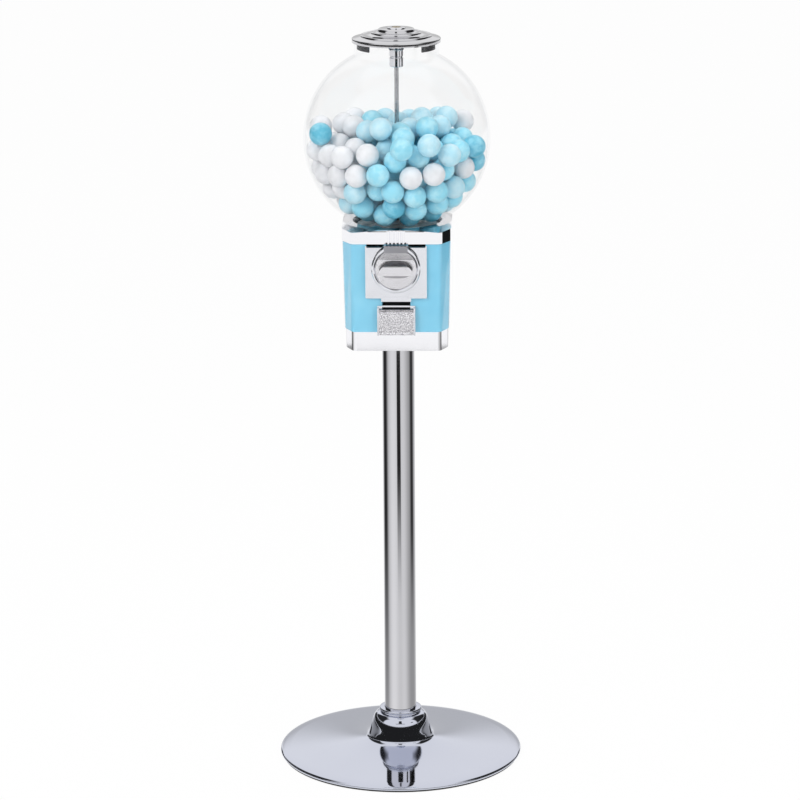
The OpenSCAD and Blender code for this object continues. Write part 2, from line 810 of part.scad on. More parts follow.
module lock_barrel() {
    groove_z = barrel_z + barrel_len * 0.23;
    bead_z = barrel_z + barrel_len * 0.43;
    bead = 1;
    color("silver")
        difference() {
            rotate_extrude()
                polygon(concat(
                    [[0, barrel_z], [barrel_r - 0.8, barrel_z], [barrel_r, barrel_z + 0.8],
                     [barrel_r, groove_z], [barrel_r - 1, groove_z + 0.8], [barrel_r - 1, groove_z + 2],
                     [barrel_r, groove_z + 2.8], [barrel_r, bead_z]],
                    curve([barrel_r + bead * 0.4, bead_z], [barrel_r + bead * 1.2, bead_z + 0.4],
                          [barrel_r + bead * 1.2, bead_z + 2.2], [barrel_r + bead * 0.4, bead_z + 2.6], 4),
                    [[barrel_r, bead_z + 2.6], [barrel_r, lid_top], [barrel_r + 3.4, lid_top],
                     [barrel_r + 3, lid_top + 1.1], [barrel_r + 1.4, lid_top + 1.6], [0, lid_top + 1.6]]));
            translate([0, 0, barrel_z - 1]) cylinder(r = rod_d / 2 + slip, h = rod_top - barrel_z + 2);
            translate([0, 0, lid_top + 1.6 - plug_len]) cylinder(r = plug_r + slip, h = plug_len + 1);
        }
}

module lock_nut() {
    color("silver")
        translate([0, 0, lid_top - lid_sheet - 5])
            difference() {
                hex(25, 5);
                translate([0, 0, -1]) cylinder(r = barrel_r + run, h = 8);
            }
}

module lock_plug() {
    top = lid_top + 1.2;
    color("gold")
        difference() {
            translate([0, 0, top - plug_len + 1.2]) cylinder(r = plug_r, h = plug_len - 1.2);
            translate([-3.6, -0.7, top - 9]) cube([7.2, 1.4, 10]);
            translate([0, 0, top - 9]) cylinder(r = 1.5, h = 10);
        }
}

// ---- Coin mechanism ----

module plate_screw_places() {
    for (x = [-1, 1], z = [plate_z + 6, plate_top - 8.5]) translate([x * (plate_w / 2 - 5), 0, z]) children();
}

// Section of the raised ring, turned round the knob's axis
module knob_ring() {
    h = ring_out + 0.5;
    translate([0, plate_front + 0.5, knob_z])
        rotate([90, 0, 0])
            rotate_extrude()
                polygon(concat([[ring_in_r, 0], [ring_r, 0]],
                    curve([ring_r, h - 3], [ring_r, h + 0.4], [ring_in_r + 2, h + 0.8],
                          [ring_in_r, h - 1.4], 6)));
}

module coin_plate() {
    color("silver")
        difference() {
            union() {
                translate([0, 0, plate_z + plate_h / 2])
                    plate_y(plate_front, plate_t) polygon(box_outline(plate_w, plate_h, 1.2));
                translate([0, 0, plate_z - tab_h / 2 + 1])
                    plate_y(plate_front - 0.6, plate_t + 0.6) polygon(box_outline(tab_w, tab_h + 2, 1));
                difference() {
                    knob_ring();
                    // seat of the slot block
                    translate([-block_w / 2 - 0.1, plate_front - 20, block_top - block_h - 0.1])
                        cube([block_w + 0.2, 21, block_h + 10]);
                }
            }
            translate([0, 0, collar_z - gap_h]) over_plate(plate_front - 1, plate_t + 2, gap_h);
            translate([0, 0, knob_z]) along_y(shaft_r + run, plate_front - 1, plate_t + 2);
            // outlet for the coin behind the lower part of the carrier
            translate([-coin_d / 2 - 1, plate_front - 1, knob_z - disc_r + 1]) cube([coin_d + 2, plate_t + 2, 8]);
            plate_screw_places() along_y(2 + run, plate_back - 2.4, 4);
        }
}

module slot_block() {
    y = plate_front - block_out;
    slot_w = coin_d + 1.2;
    slot_t = coin_t + 0.6;
    color("darkgray")
        difference() {
            translate([0, 0, block_top - block_h / 2])
                plate_y(y, block_out) polygon(box_outline(block_w, block_h, 1));
            translate([-slot_w / 2, carrier_y + (carrier_t - slot_t) / 2, block_top - block_h - 1])
                cube([slot_w, slot_t, block_h + 2]);
            translate([0, 0, knob_z]) along_y(disc_r + 2 * slip, disc_y - slip, 20);
            translate([0, 0, block_top - block_h / 2])
                plate_y(y - 1, 1.8) polygon(box_outline(block_w * 0.62, block_h * 0.42, 1.2));
        }
}

module knob() {
    lens_r = (grip_len * grip_len / 4 + grip_h * grip_h / 4) / grip_h;
    half = grip_h / 2;
    color("silver")
        translate([0, 0, knob_z])
            difference() {
                union() {
                    along_y(disc_r, disc_y, disc_t);
                    intersection() {
                        translate([0, 0, lens_r - half]) along_y(lens_r, grip_y, grip_out + 1);
                        translate([0, 0, half - lens_r]) along_y(lens_r, grip_y, grip_out + 1);
                        across_x(grip_len)
                            polygon(soften([[disc_y + 1, -half], [grip_y, -half * 0.62],
                                            [grip_y, half * 0.62], [disc_y + 1, half]], 1.6));
                    }
                }
                along_y(shaft_r + run, disc_y + 1, disc_t);
            }
}

module coin_carrier() {
    notch_r = coin_d / 2 + 0.3;
    color("darkgray")
        difference() {
            translate([0, 0, knob_z]) along_y(disc_r - 0.2, carrier_y, carrier_t - 0.05);
            translate([0, 0, knob_z]) along_y(shaft_r + run, carrier_y - 1, carrier_t + 2);
            translate([0, 0, knob_z + disc_r - notch_r + 4]) along_y(notch_r, carrier_y - 1, carrier_t + 2);
        }
}

module knob_shaft() {
    groove_y = shaft_end - 1.8;
    color("gray")
        translate([0, 0, knob_z])
            difference() {
                along_y(shaft_r, disc_y + 1, shaft_end - disc_y - 1);
                difference() {
                    along_y(shaft_r + 1, groove_y, 0.8);
                    along_y(shaft_r - 0.8, groove_y - 1, 3);
                }
            }
}

module ratchet() {
    step = 360 / ratchet_teeth;
    root = ratchet_r - ratchet_tooth;
    color("darkgray")
        translate([0, 0, knob_z])
            difference() {
                plate_y(ratchet_y, ratchet_t)
                    polygon([for (i = [0:ratchet_teeth - 1], k = [0:3])
                        let (r = k == 0 ? ratchet_r : root + ratchet_tooth * (k - 1) / 3,
                             a = -i * step - (k == 0 ? 0 : 2 + (k - 1) * step * 0.3))
                        [r * cos(a), r * sin(a)]]);
                along_y(shaft_r + run, ratchet_y - 1, ratchet_t + 2);
            }
}

module pawl() {
    color("gray")
        difference() {
            translate([pawl_x, 0, knob_z + pawl_up])
                plate_y(ratchet_y + 0.4, ratchet_t - 0.8)
                    hull() {
                        circle(r = 3.4, $fn = 32);
                        translate(pawl_tip) circle(r = 1.9, $fn = 32);
                    }
            translate([pawl_x, 0, knob_z + pawl_up]) along_y(pin_r + run, ratchet_y - 1, ratchet_t + 2);
        }
}

module pawl_pin() {
    color("silver")
        translate([pawl_x, 0, knob_z + pawl_up]) {
            along_y(pin_r, ratchet_y - 0.4, back_y + back_t - ratchet_y + 0.4);
            along_y(pin_r + 1, ratchet_y - 0.9, 0.9);
        }
}

// Tube of a round wire along a list of points; each ring of the tube lies across the local direction
module wire(path, r, sides = 8) {
    n = len(path);
    rings = [for (i = [0:n - 1])
        let (u = unit(path[min(i + 1, n - 1)] - path[max(i - 1, 0)]),
             a = unit(cross(u, [0.12, 1, 0.07])), b = cross(u, a))
        for (k = [0:sides - 1]) path[i] + r * (cos(k * 360 / sides) * a + sin(k * 360 / sides) * b)];
    polyhedron(rings, concat(
        [for (i = [0:n - 2], k = [0:sides - 1])
            let (m = (k + 1) % sides)
            [i * sides + k, i * sides + m, (i + 1) * sides + m, (i + 1) * sides + k]],
        [[for (k = [sides - 1:-1:0]) k], [for (k = [0:sides - 1]) (n - 1) * sides + k]]));
}

// Torsion spring round the pawl's pin, between the pawl and the back plate
module pawl_spring() {
    turns = 2.25;
    coil_r = pin_r + 0.75;
    wire_r = 0.28;
    steps = 36;
    y0 = ratchet_y + ratchet_t - 0.4 + wire_r + 0.05;
    rise = back_y - y0 - wire_r - 0.1;
    color("gray")
        translate([pawl_x, y0, knob_z + pawl_up])
            wire(concat([[coil_r, 0, 9]],
                        [for (i = [0:steps]) let (a = i * turns * 360 / steps)
                            [coil_r * cos(a), rise * i / steps, -coil_r * sin(a)]],
                        [[-9, rise, -coil_r]]), wire_r);
}

module mech_pillars() {
    color("silver")
        around_knob(pillar_pcd_r, pillar_angles) {
            along_y(pillar_r, plate_back, back_y - plate_back);
            along_y(pillar_r - 1.2, back_y - 1, back_t + 1);
        }
}

module back_plate() {
    color("gray")
        difference() {
            translate([0, 0, knob_z]) along_y(back_r, back_y, back_t);
            translate([0, 0, knob_z]) along_y(bush_r + run / 2, back_y - 1, back_t + 2);
            around_knob(pillar_pcd_r, pillar_angles) along_y(pillar_r - 1.2 + run / 2, back_y - 1, back_t + 2);
            translate([pawl_x, 0, knob_z + pawl_up]) along_y(pin_r + run / 2, back_y - 1, back_t + 2);
        }
}

module shaft_bushing() {
    color("peru")
        translate([0, 0, knob_z])
            difference() {
                union() {
                    along_y(bush_r, back_y, back_t + 0.5);
                    along_y(bush_r + 2, back_y + back_t, 1.5);
                }
                along_y(shaft_r + run, back_y - 1, 10);
            }
}

// Outline of the pinion: straight-flanked teeth, the first one pointing up
function pinion_outline() =
    let (root = pinion_r - gear_ded, tip = pinion_r + gear_add,
         root_a = asin((tooth_w + 0.9) / 2 / root), tip_a = asin((tooth_w - 0.7) / 2 / tip))
    [for (i = [0:pinion_teeth - 1], k = [[root, root_a], [tip, tip_a], [tip, -tip_a], [root, -root_a]])
        let (a = 90 - i * 360 / pinion_teeth + k[1]) k[0] * [cos(a), sin(a)]];

module drive_pinion() {
    color("white")
        translate([0, 0, knob_z])
            difference() {
                plate_y(pinion_y, pinion_t) polygon(pinion_outline());
                along_y(shaft_r + run, pinion_y - 1, pinion_t + 2);
            }
}

module plate_screws() {
    y = front_y + shell_wall;
    color("silver")
        plate_screw_places() {
            along_y(2, plate_back - 2.2, y - plate_back + 3);
            along_y(3.8, y, 2.4);
        }
}

// ---- Chute ----

// Side outline of the chute in Y and Z; t is its wall, or 0 for the inside
module chute_side(t, past) {
    back = drop_y + chute_in + t;
    front = drop_y - chute_in - t;
    polygon([[back, tube_z + 1], [back, mouth_z + 44 - t], [-49, mouth_z - t],
             [chute_y - past, mouth_z - t], [chute_y - past, mouth_top - 1 + t],
             [chute_y + 9, mouth_top + 3 + t], [front, tube_z - 1 + t], [front, tube_z + 1]]);
}

// Plan of the chute's lower part: wide at the back under the drop hole, narrow at the mouth
module chute_plan(t, past) {
    left = drop_x - chute_in - t;
    right = drop_x + chute_in + t;
    back = drop_y + chute_in + t;
    half = mouth_w / 2 - chute_wall + t;
    polygon([[-half, chute_y - past], [half, chute_y - past], [half, chute_y + 4], [right, -40],
             [right, back], [left, back], [-half, chute_y + 4]]);
}

module chute_form(t, past) {
    intersection() {
        across_x(200) chute_side(t, past);
        translate([0, 0, body_z]) linear_extrude(200) chute_plan(t, past);
    }
    translate([drop_x, drop_y, (tube_z + tube_top + past) / 2 - 4])
        cube([2 * (chute_in + t), 2 * (chute_in + t), tube_top - tube_z + past + 8], center = true);
}

module chute() {
    color("whitesmoke")
        difference() {
            chute_form(chute_wall, 0);
            chute_form(0, 5);
        }
}

module chute_frame() {
    bottom = door_z - 0.6;
    color("gainsboro")
        difference() {
            union() {
                translate([0, 0, (lintel_top + bottom) / 2])
                    plate_y(frame_y, frame_t) polygon(box_outline(frame_w, lintel_top - bottom, 1.5));
                for (s = [-1, 1])
                    translate([s * (frame_w - frame_band) / 2, 0, 0])
                        across_x(frame_band)
                            polygon([[frame_y + 0.5, bottom], [frame_y - cheek_out + 1.4, bottom],
                                     [frame_y - cheek_out, bottom + 3], [frame_y - cheek_out, door_top - 1],
                                     [frame_y - cheek_out + 2, door_top + 1.6], [frame_y + 0.5, door_top + 3]]);
            }
            translate([-mouth_w / 2, frame_y - 1, mouth_z - 0.5])
                cube([mouth_w, frame_t + 2, door_top + 1 - mouth_z]);
            translate([-door_w / 2 - slip, frame_y - 1, door_top - 6]) cube([door_w + 2 * slip, 2.6, 7.2]);
            translate([-lip_gap_w / 2, frame_y - 1, door_top])
                cube([lip_gap_w, frame_t + 2, lintel_z - door_top]);
            translate([-lip_gap_w / 2, frame_y - 1, lintel_z - 1]) cube([lip_gap_w, 2.6, 9]);
            translate([0, hinge_y, hinge_z]) rotate([0, 90, 0])
                cylinder(r = hinge_r + run, h = frame_w + 2, center = true);
        }
}

module chute_door() {
    knuckle_r = hinge_r + 1.15;
    grip = 4;
    color("silver")
        difference() {
            union() {
                translate([0, 0, (door_z + hinge_z) / 2])
                    plate_y(door_y, door_t) polygon(box_outline(door_w, hinge_z - door_z, 1));
                translate([0, hinge_y, hinge_z]) rotate([0, 90, 0])
                    cylinder(r = knuckle_r, h = door_w, center = true);
                across_x(door_w - 8)
                    polygon([[door_y + 0.5, door_z + 0.4], [door_y - 1.4, door_z + 0.8],
                             [door_y - 1.4, door_z + 1.6], [door_y + 0.5, door_z + grip]]);
            }
            translate([0, hinge_y, hinge_z]) rotate([0, 90, 0])
                cylinder(r = hinge_r + run, h = door_w + 2, center = true);
        }
}

module hinge_pin() {
    color("silver")
        translate([0, hinge_y, hinge_z]) rotate([0, 90, 0])
            cylinder(r = hinge_r, h = frame_w - 0.6, center = true);
}

foot_ring();
base_dome();
weight_plate();
base_bolt();
base_washer();
pole_plug();
pole();
pole_flange();
flange_screws();
base_trim();
body_shell();
coin_box();
collar();
wheel_housing();
dispensing_wheel();
wheel_gumballs();
drop_cover();
globe_gasket();
globe();
gumballs();
centre_rod();
rod_washer();
rod_nut();
lid_gasket();
lid();
lid_clips();
lock_barrel();
lock_nut();
lock_plug();
coin_plate();
slot_block();
knob();
coin_carrier();
knob_shaft();
ratchet();
pawl();
pawl_pin();
pawl_spring();
mech_pillars();
back_plate();
shaft_bushing();
drive_pinion();
plate_screws();
chute();
chute_frame();
chute_door();
hinge_pin();
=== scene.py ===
"""Looks of a gumball machine on a pole stand: finishes, smooth turned pieces, gumballs and studio."""

import logging
import math
import random
from dataclasses import dataclass, field
from enum import Enum
from typing import Any, Callable, ClassVar, Sequence

import bmesh
import bpy
from mathutils import Euler, Matrix, Vector, noise

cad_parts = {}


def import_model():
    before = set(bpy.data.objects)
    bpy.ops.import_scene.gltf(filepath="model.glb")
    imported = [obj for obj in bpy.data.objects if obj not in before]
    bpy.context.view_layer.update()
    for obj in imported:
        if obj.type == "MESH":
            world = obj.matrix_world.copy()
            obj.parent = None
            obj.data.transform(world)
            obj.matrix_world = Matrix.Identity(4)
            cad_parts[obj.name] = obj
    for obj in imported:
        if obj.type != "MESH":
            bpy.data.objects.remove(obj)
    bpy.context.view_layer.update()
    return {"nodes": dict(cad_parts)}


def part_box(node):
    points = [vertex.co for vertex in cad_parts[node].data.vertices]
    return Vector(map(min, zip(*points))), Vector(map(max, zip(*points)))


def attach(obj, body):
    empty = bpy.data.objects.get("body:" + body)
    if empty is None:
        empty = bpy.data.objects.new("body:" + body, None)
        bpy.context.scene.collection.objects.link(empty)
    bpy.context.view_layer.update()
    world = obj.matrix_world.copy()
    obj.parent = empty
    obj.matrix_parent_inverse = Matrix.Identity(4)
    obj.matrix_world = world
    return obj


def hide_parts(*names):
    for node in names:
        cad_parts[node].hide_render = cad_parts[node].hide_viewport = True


Piece = bpy.types.Object
Point = tuple[float, float]
Colour = tuple[float, float, float]
Place = Sequence[float]
Grid = list[list[tuple[Place, float]]]

MM = 0.001
WHITE_LIGHT = (1.0, 1.0, 1.0, 1.0)
log = logging.getLogger("gumball_machine")


# ---- shader building


def math_node(operation: str, swapped: bool = False) -> Callable[["Wire", Any], "Wire"]:
    """Makes a method of Wire that puts the wire and another value through a Math node.

    Args:
        operation: The node's operation.
        swapped: Whether the other value comes first.

    Returns:
        The method.
    """
    def method(wire: "Wire", other: Any) -> "Wire":
        """Output of a new Math node."""
        values = (other, wire) if swapped else (wire, other)
        return wire.graph.add("ShaderNodeMath", dict(enumerate(values)), operation=operation)["Value"]
    return method


class Wire:
    """A shader socket that can be used in arithmetic; every operation adds a Math node."""

    def __init__(self, graph: "Graph", socket: bpy.types.NodeSocket) -> None:
        """Wraps an output socket of the graph's node tree."""
        self.graph = graph
        self.socket = socket

    __add__ = __radd__ = math_node("ADD")
    __sub__ = math_node("SUBTRACT")
    __rsub__ = math_node("SUBTRACT", swapped=True)
    __mul__ = __rmul__ = math_node("MULTIPLY")
    __pow__ = math_node("POWER")
    at_least = math_node("MAXIMUM")
    at_most = math_node("MINIMUM")

    def clamp(self) -> "Wire":
        """The value held between 0 and 1."""
        return self.at_least(0.0).at_most(1.0)


class Graph:
    """The node tree of one material or world, built with short calls."""

    def __init__(self, owner: bpy.types.Material | bpy.types.World) -> None:
        """Empties the node tree of the owner and keeps it."""
        owner.use_nodes = True
        self.tree = owner.node_tree
        self.tree.nodes.clear()

    def add(self, kind: str, inputs: dict[Any, Any] | None = None, **settings: Any) -> "Outputs":
        """Adds a node, sets its settings first and then its sockets.

        Args:
            kind: The node's type name.
            inputs: Values or wires for its sockets, by name or number.
            settings: Attributes of the node.

        Returns:
            The node's outputs, by name or number.
        """
        node = self.tree.nodes.new(kind)
        for name, value in settings.items():
            setattr(node, name, value)
        for key, value in (inputs or {}).items():
            if isinstance(value, Wire):
                self.tree.links.new(value.socket, node.inputs[key])
            else:
                node.inputs[key].default_value = value
        return Outputs(self, node)

    def place(self) -> Wire:
        """Position on the piece in metres."""
        return self.add("ShaderNodeTexCoord")["Object"]

    def stretched(self, scale: Sequence[float]) -> Wire:
        """Position scaled by a factor along each axis."""
        inputs = {0: self.place(), 1: tuple(scale)}
        return self.add("ShaderNodeVectorMath", inputs, operation="MULTIPLY")["Vector"]

    def noise(self, per_metre: float, detail: float = 3.0, rough: float = 0.6,
              where: Wire | None = None) -> Wire:
        """Noise from 0 to 1 with that many waves in a metre; detail and rough set its finer octaves."""
        return self.add("ShaderNodeTexNoise", {"Vector": where or self.place(), "Scale": per_metre,
                                               "Detail": detail, "Roughness": rough})["Fac"]

    def pebbles(self, per_metre: float) -> Wire:
        """Distance to the nearest cell centre of a Voronoi pattern."""
        inputs = {"Vector": self.place(), "Scale": per_metre}
        return self.add("ShaderNodeTexVoronoi", inputs)["Distance"]

    def blend(self, share: Any, *colours: Any) -> Wire:
        """The first of two colours mixed with that share of the second."""
        first, second = (c if isinstance(c, Wire) else (*c, 1.0) for c in colours)
        return self.add("ShaderNodeMix", {0: share, 6: first, 7: second}, data_type="RGBA")[2]

    def bump(self, height: Wire, depth: float) -> Wire:
        """Normal of a surface whose height, from 0 to 1, is that deep in metres."""
        return self.add("ShaderNodeBump", {"Height": height, "Distance": depth})["Normal"]

    def glow(self, strength: Any) -> Wire:
        """White Emission shader."""
        return self.add("ShaderNodeEmission", {"Color": WHITE_LIGHT, "Strength": strength})["Emission"]

    def seen(self) -> Wire:
        """1 for what is seen, also in a mirror or through glass, and 0 for what only lights."""
        rays = self.add("ShaderNodeLightPath")
        return rays["Is Camera Ray"].at_least(rays["Is Glossy Ray"]).at_least(rays["Is Transmission Ray"])

    def surface(self, shader: Wire) -> None:
        """Connects a shader to a material's output."""
        self.add("ShaderNodeOutputMaterial", {"Surface": shader})

    def principled(self, **inputs: Any) -> Wire:
        """Adds a Principled shader; underscores in the names stand for spaces."""
        return self.add("ShaderNodeBsdfPrincipled",
                        {name.replace("_", " "): value for name, value in inputs.items()})["BSDF"]


@dataclass
class Outputs:
    """Outputs of one node, looked up by name or number.

    Attributes:
        graph: The graph that the node is in.
        node: The node.
    """

    graph: Graph
    node: bpy.types.Node

    def __getitem__(self, key: str | int) -> Wire:
        """The output with that name or number."""
        return Wire(self.graph, self.node.outputs[key])


# ---- finishes


@dataclass(frozen=True)
class Finish:
    """A surface finish; each kind paints its own node tree.

    Attributes:
        name: Name of the material.
    """

    name: str

    def material(self) -> bpy.types.Material:
        """Makes the finish's material, or finds it if it is there.

        Returns:
            The material.
        """
        name = f"{self.name}_finish"
        made = bpy.data.materials.get(name)
        if made is None:
            made = bpy.data.materials.new(name)
            self.paint(Graph(made))
        return made

    def paint(self, graph: Graph) -> None:
        """Builds the node tree."""
        raise NotImplementedError

    def dress(self, piece: Piece) -> Piece:
        """Gives the piece this finish in its only slot.

        Args:
            piece: The piece.

        Returns:
            The same piece.
        """
        piece.data.materials.clear()
        piece.data.materials.append(self.material())
        return piece


@dataclass(frozen=True)
class Metal(Finish):
    """Bare or plated metal with faint wiping marks, smudges and grain.

    Attributes:
        tint: Reflected colour.
        shade: Reflected colour in the darker clouds.
        rough: Roughness where it is clean.
        smudge: Roughness added by smudges.
        grain: Depth of a cast or brushed grain in metres.
        grain_per_metre: Fineness of the grain.
        stretch: Stretch of the grain along X, Y and Z.
        clouds_per_metre: Fineness of the clouds and smudges.
        wipes_per_metre: Fineness of the wiping marks.
        wiped: Stretch of the wiping marks along X, Y and Z.
    """

    tint: Colour
    shade: Colour
    rough: float
    smudge: float
    grain: float = 0.0
    grain_per_metre: float = 2500.0
    stretch: Place = (1.0, 1.0, 1.0)
    clouds_per_metre: float = 9.0
    wipes_per_metre: float = 260.0
    wiped: Place = (0.12, 0.12, 1.0)

    def paint(self, graph: Graph) -> None:
        """Builds the node tree.

        Args:
            graph: The empty node tree.
        """
        clouds = graph.noise(self.clouds_per_metre)
        wiping = graph.noise(self.wipes_per_metre, 3.0, 0.7, graph.stretched(self.wiped))
        rough = self.rough + ((clouds - 0.48) * 2.2).clamp() * self.smudge + wiping * self.smudge * 0.3
        colour = graph.blend(clouds, self.tint, self.shade)
        relief = {}
        if self.grain:
            grain = graph.noise(self.grain_per_metre, 3.0, 0.65, graph.stretched(self.stretch))
            relief["Normal"] = graph.bump(grain, self.grain)
        graph.surface(graph.principled(Base_Color=colour, Metallic=1.0, Roughness=rough, **relief))


@dataclass(frozen=True)
class KnobMetal(Metal):
    """Satin zinc with a painted dark reflection on its upward faces, for the shaded gumballs above that
    they mirror, and darker grey pebbles on the disc above the grip.

    Attributes:
        skin: Colour of the painted dark reflection on the upward faces.
        pebbled: Colour of the pebbles on the disc.
        grip_top: Height above which the disc is pebbled, in metres.
        pebble: Depth of the pebbling in metres.
        specks_per_metre: Fineness of the pebbling.
    """

    skin: Colour = (0.05, 0.05, 0.055)
    pebbled: Colour = (0.76, 0.75, 0.79)
    grip_top: float = 0.7296
    pebble: float = 0.00035
    specks_per_metre: float = 1300.0

    def paint(self, graph: Graph) -> None:
        """Builds the node tree.

        Args:
            graph: The empty node tree.
        """
        coords = graph.add("ShaderNodeTexCoord")
        up = graph.add("ShaderNodeSeparateXYZ", {"Vector": coords["Normal"]})["Z"]
        height = graph.add("ShaderNodeSeparateXYZ", {"Vector": coords["Object"]})["Z"]
        clouds = graph.noise(self.clouds_per_metre)
        speck = graph.noise(self.specks_per_metre, 3.0, 0.7)
        # Painted reflection: faces turned upwards take the dark skin colour, standing in for the shaded
        # gumballs above that they mirror.
        painted_reflection_share = ((up - 0.35) * 4.0 + (speck - 0.5) * 1.2).clamp()
        above = ((height - self.grip_top) * 2500.0).clamp()
        zinc = graph.blend(clouds, self.tint, self.shade)
        pebbled = graph.blend((above * (speck - 0.3) * 1.6).clamp(), zinc, self.pebbled)
        graph.surface(graph.principled(
            Base_Color=graph.blend(painted_reflection_share * 0.85, pebbled, self.skin), Metallic=1.0,
            Roughness=self.rough + clouds * self.smudge + painted_reflection_share * 0.15 + above * 0.12,
            Normal=graph.bump(speck * (0.25 + above), self.pebble)))


@dataclass(frozen=True)
class HammeredMetal(Finish):
    """Zinc casting with a pebbled skin.

    Attributes:
        tint: Colour of the crowns.
        hollow: Colour of the hollows, painted shade in the low spots of the pebbling.
        per_metre: Pebbles in a metre.
        depth: Depth of the pebbling in metres.
        rough: Roughness.
    """

    tint: Colour = (0.96, 0.95, 0.98)
    hollow: Colour = (0.5, 0.49, 0.53)
    per_metre: float = 700.0
    depth: float = 0.00004
    rough: float = 0.08

    def paint(self, graph: Graph) -> None:
        """Builds the node tree.

        Args:
            graph: The empty node tree.
        """
        cells = graph.pebbles(self.per_metre)
        speck = graph.noise(self.per_metre * 0.9, 2.0, 0.6)
        height = (1.0 - cells) * 0.6 + speck * 0.5
        # Painted shade: where the speckle, and with it the surface, is low, the colour turns to the darker
        # hollow colour.
        pits = ((speck - 0.5) * 6.0 + 0.62).clamp()
        graph.surface(graph.principled(
            Base_Color=graph.blend(pits, self.hollow, self.tint), Metallic=1.0,
            Roughness=self.rough + speck * 0.08, Normal=graph.bump(height, self.depth)))


@dataclass(frozen=True)
class GlossPaint(Finish):
    """Stoved gloss paint with a faint orange-peel and cloudiness.

    Attributes:
        tint: Paint colour.
        deep: Colour in the deeper clouds.
        rough: Roughness of the paint under its coat.
        peel: Depth of the orange-peel in metres.
    """

    tint: Colour = (0.25, 0.64, 0.83)
    deep: Colour = (0.17, 0.55, 0.77)
    rough: float = 0.3
    peel: float = 0.00004

    def paint(self, graph: Graph) -> None:
        """Builds the node tree.

        Args:
            graph: The empty node tree.
        """
        clouds = graph.noise(14.0, 3.0, 0.55)
        peel = graph.noise(420.0, 1.0, 0.4)
        dust = graph.noise(2600.0, 1.0, 0.5)
        graph.surface(graph.principled(
            Base_Color=graph.blend(((clouds - 0.35) * 2.0).clamp(), self.deep, self.tint),
            Metallic=0.0, Roughness=self.rough + dust * 0.1, Coat_Weight=1.0, Coat_Roughness=0.04,
            Normal=graph.bump(peel, self.peel)))


@dataclass(frozen=True)
class Plastic(Finish):
    """Moulded plastic or rubber with a fine texture.

    Attributes:
        tint: Colour.
        shade: Colour in the darker clouds.
        rough: Roughness.
        texture: Depth of the moulded texture in metres.
    """

    tint: Colour = (0.85, 0.85, 0.83)
    shade: Colour = (0.78, 0.78, 0.77)
    rough: float = 0.4
    texture: float = 0.00003

    def paint(self, graph: Graph) -> None:
        """Builds the node tree.

        Args:
            graph: The empty node tree.
        """
        clouds = graph.noise(30.0)
        skin = graph.noise(1800.0, 2.0, 0.6)
        graph.surface(graph.principled(
            Base_Color=graph.blend(clouds, self.tint, self.shade), Metallic=0.0,
            Roughness=self.rough + skin * 0.12, Normal=graph.bump(skin, self.texture)))


@dataclass(frozen=True)
class ClearShell(Finish):
    """Clear moulded shell: see-through face on, greyer and mirroring towards its outline.

    Attributes:
        sheen: Colour of the reflection.
        hazed: Its colour in the haze.
        face: Opacity face on.
        edge: Opacity at the outline.
        falloff: How fast it clears away from the outline.
    """

    sheen: Colour = (0.72, 0.75, 0.78)
    hazed: Colour = (0.85, 0.87, 0.9)
    face: float = 0.015
    edge: float = 0.6
    falloff: float = 8.0

    def paint(self, graph: Graph) -> None:
        """Builds the node tree.

        Args:
            graph: The empty node tree.
        """
        facing = graph.add("ShaderNodeLayerWeight", {"Blend": 0.5})["Facing"]
        haze = graph.noise(12.0)
        scratch = graph.noise(300.0, 2.0, 0.7, graph.stretched((1.0, 1.0, 0.2)))
        alpha = self.face + (facing ** self.falloff) * (self.edge - self.face) + haze * 0.02
        graph.surface(graph.principled(
            Base_Color=graph.blend(haze, self.sheen, self.hazed), Metallic=1.0,
            Roughness=0.02 + scratch * 0.04, Alpha=alpha.clamp(), Normal=graph.bump(haze, 0.0002)))


@dataclass(frozen=True)
class Candy(Finish):
    """Sugar shell of a gumball: cloudy colour, small pits and a soft sheen.

    Attributes:
        tint: Main colour.
        cloud: Colour of the paler clouds.
        clouds_at: Level above which a cloud shows.
        rough: Roughness of the shell.
        pit: Depth of the pits in metres.
    """

    tint: Colour
    cloud: Colour
    clouds_at: float
    rough: float = 0.32
    pit: float = 0.00006

    def paint(self, graph: Graph) -> None:
        """Builds the node tree.

        Args:
            graph: The empty node tree.
        """
        clouds = graph.noise(70.0, 4.0, 0.62)
        pits = graph.noise(900.0, 2.0, 0.6)
        share = ((clouds - self.clouds_at) * 5.0 + 0.5).clamp()
        graph.surface(graph.principled(
            Base_Color=graph.blend(share, self.tint, self.cloud), Metallic=0.0,
            Roughness=self.rough + pits * 0.14, Coat_Weight=0.35, Coat_Roughness=0.22,
            Normal=graph.bump(pits, self.pit)))


CHROME = Metal("polished_chrome", (0.74, 0.735, 0.765), (0.69, 0.69, 0.72), 0.03, 0.04)
BASE_CHROME = Metal("spun_chrome", (0.62, 0.645, 0.735), (0.58, 0.6, 0.69), 0.04, 0.05)
LID_CHROME = Metal("lid_chrome", (0.72, 0.72, 0.74), (0.5, 0.5, 0.52), 0.05, 0.1)
CHROME_TRIM = Metal("cast_chrome", (0.95, 0.95, 0.965), (0.88, 0.88, 0.92), 0.03, 0.035)
SATIN_ZINC = Metal("satin_zinc", (0.86, 0.87, 0.91), (0.74, 0.75, 0.8), 0.1, 0.08)
KNOB_ZINC = KnobMetal("knob_zinc", (0.93, 0.92, 0.95), (0.82, 0.81, 0.85), 0.08, 0.07)
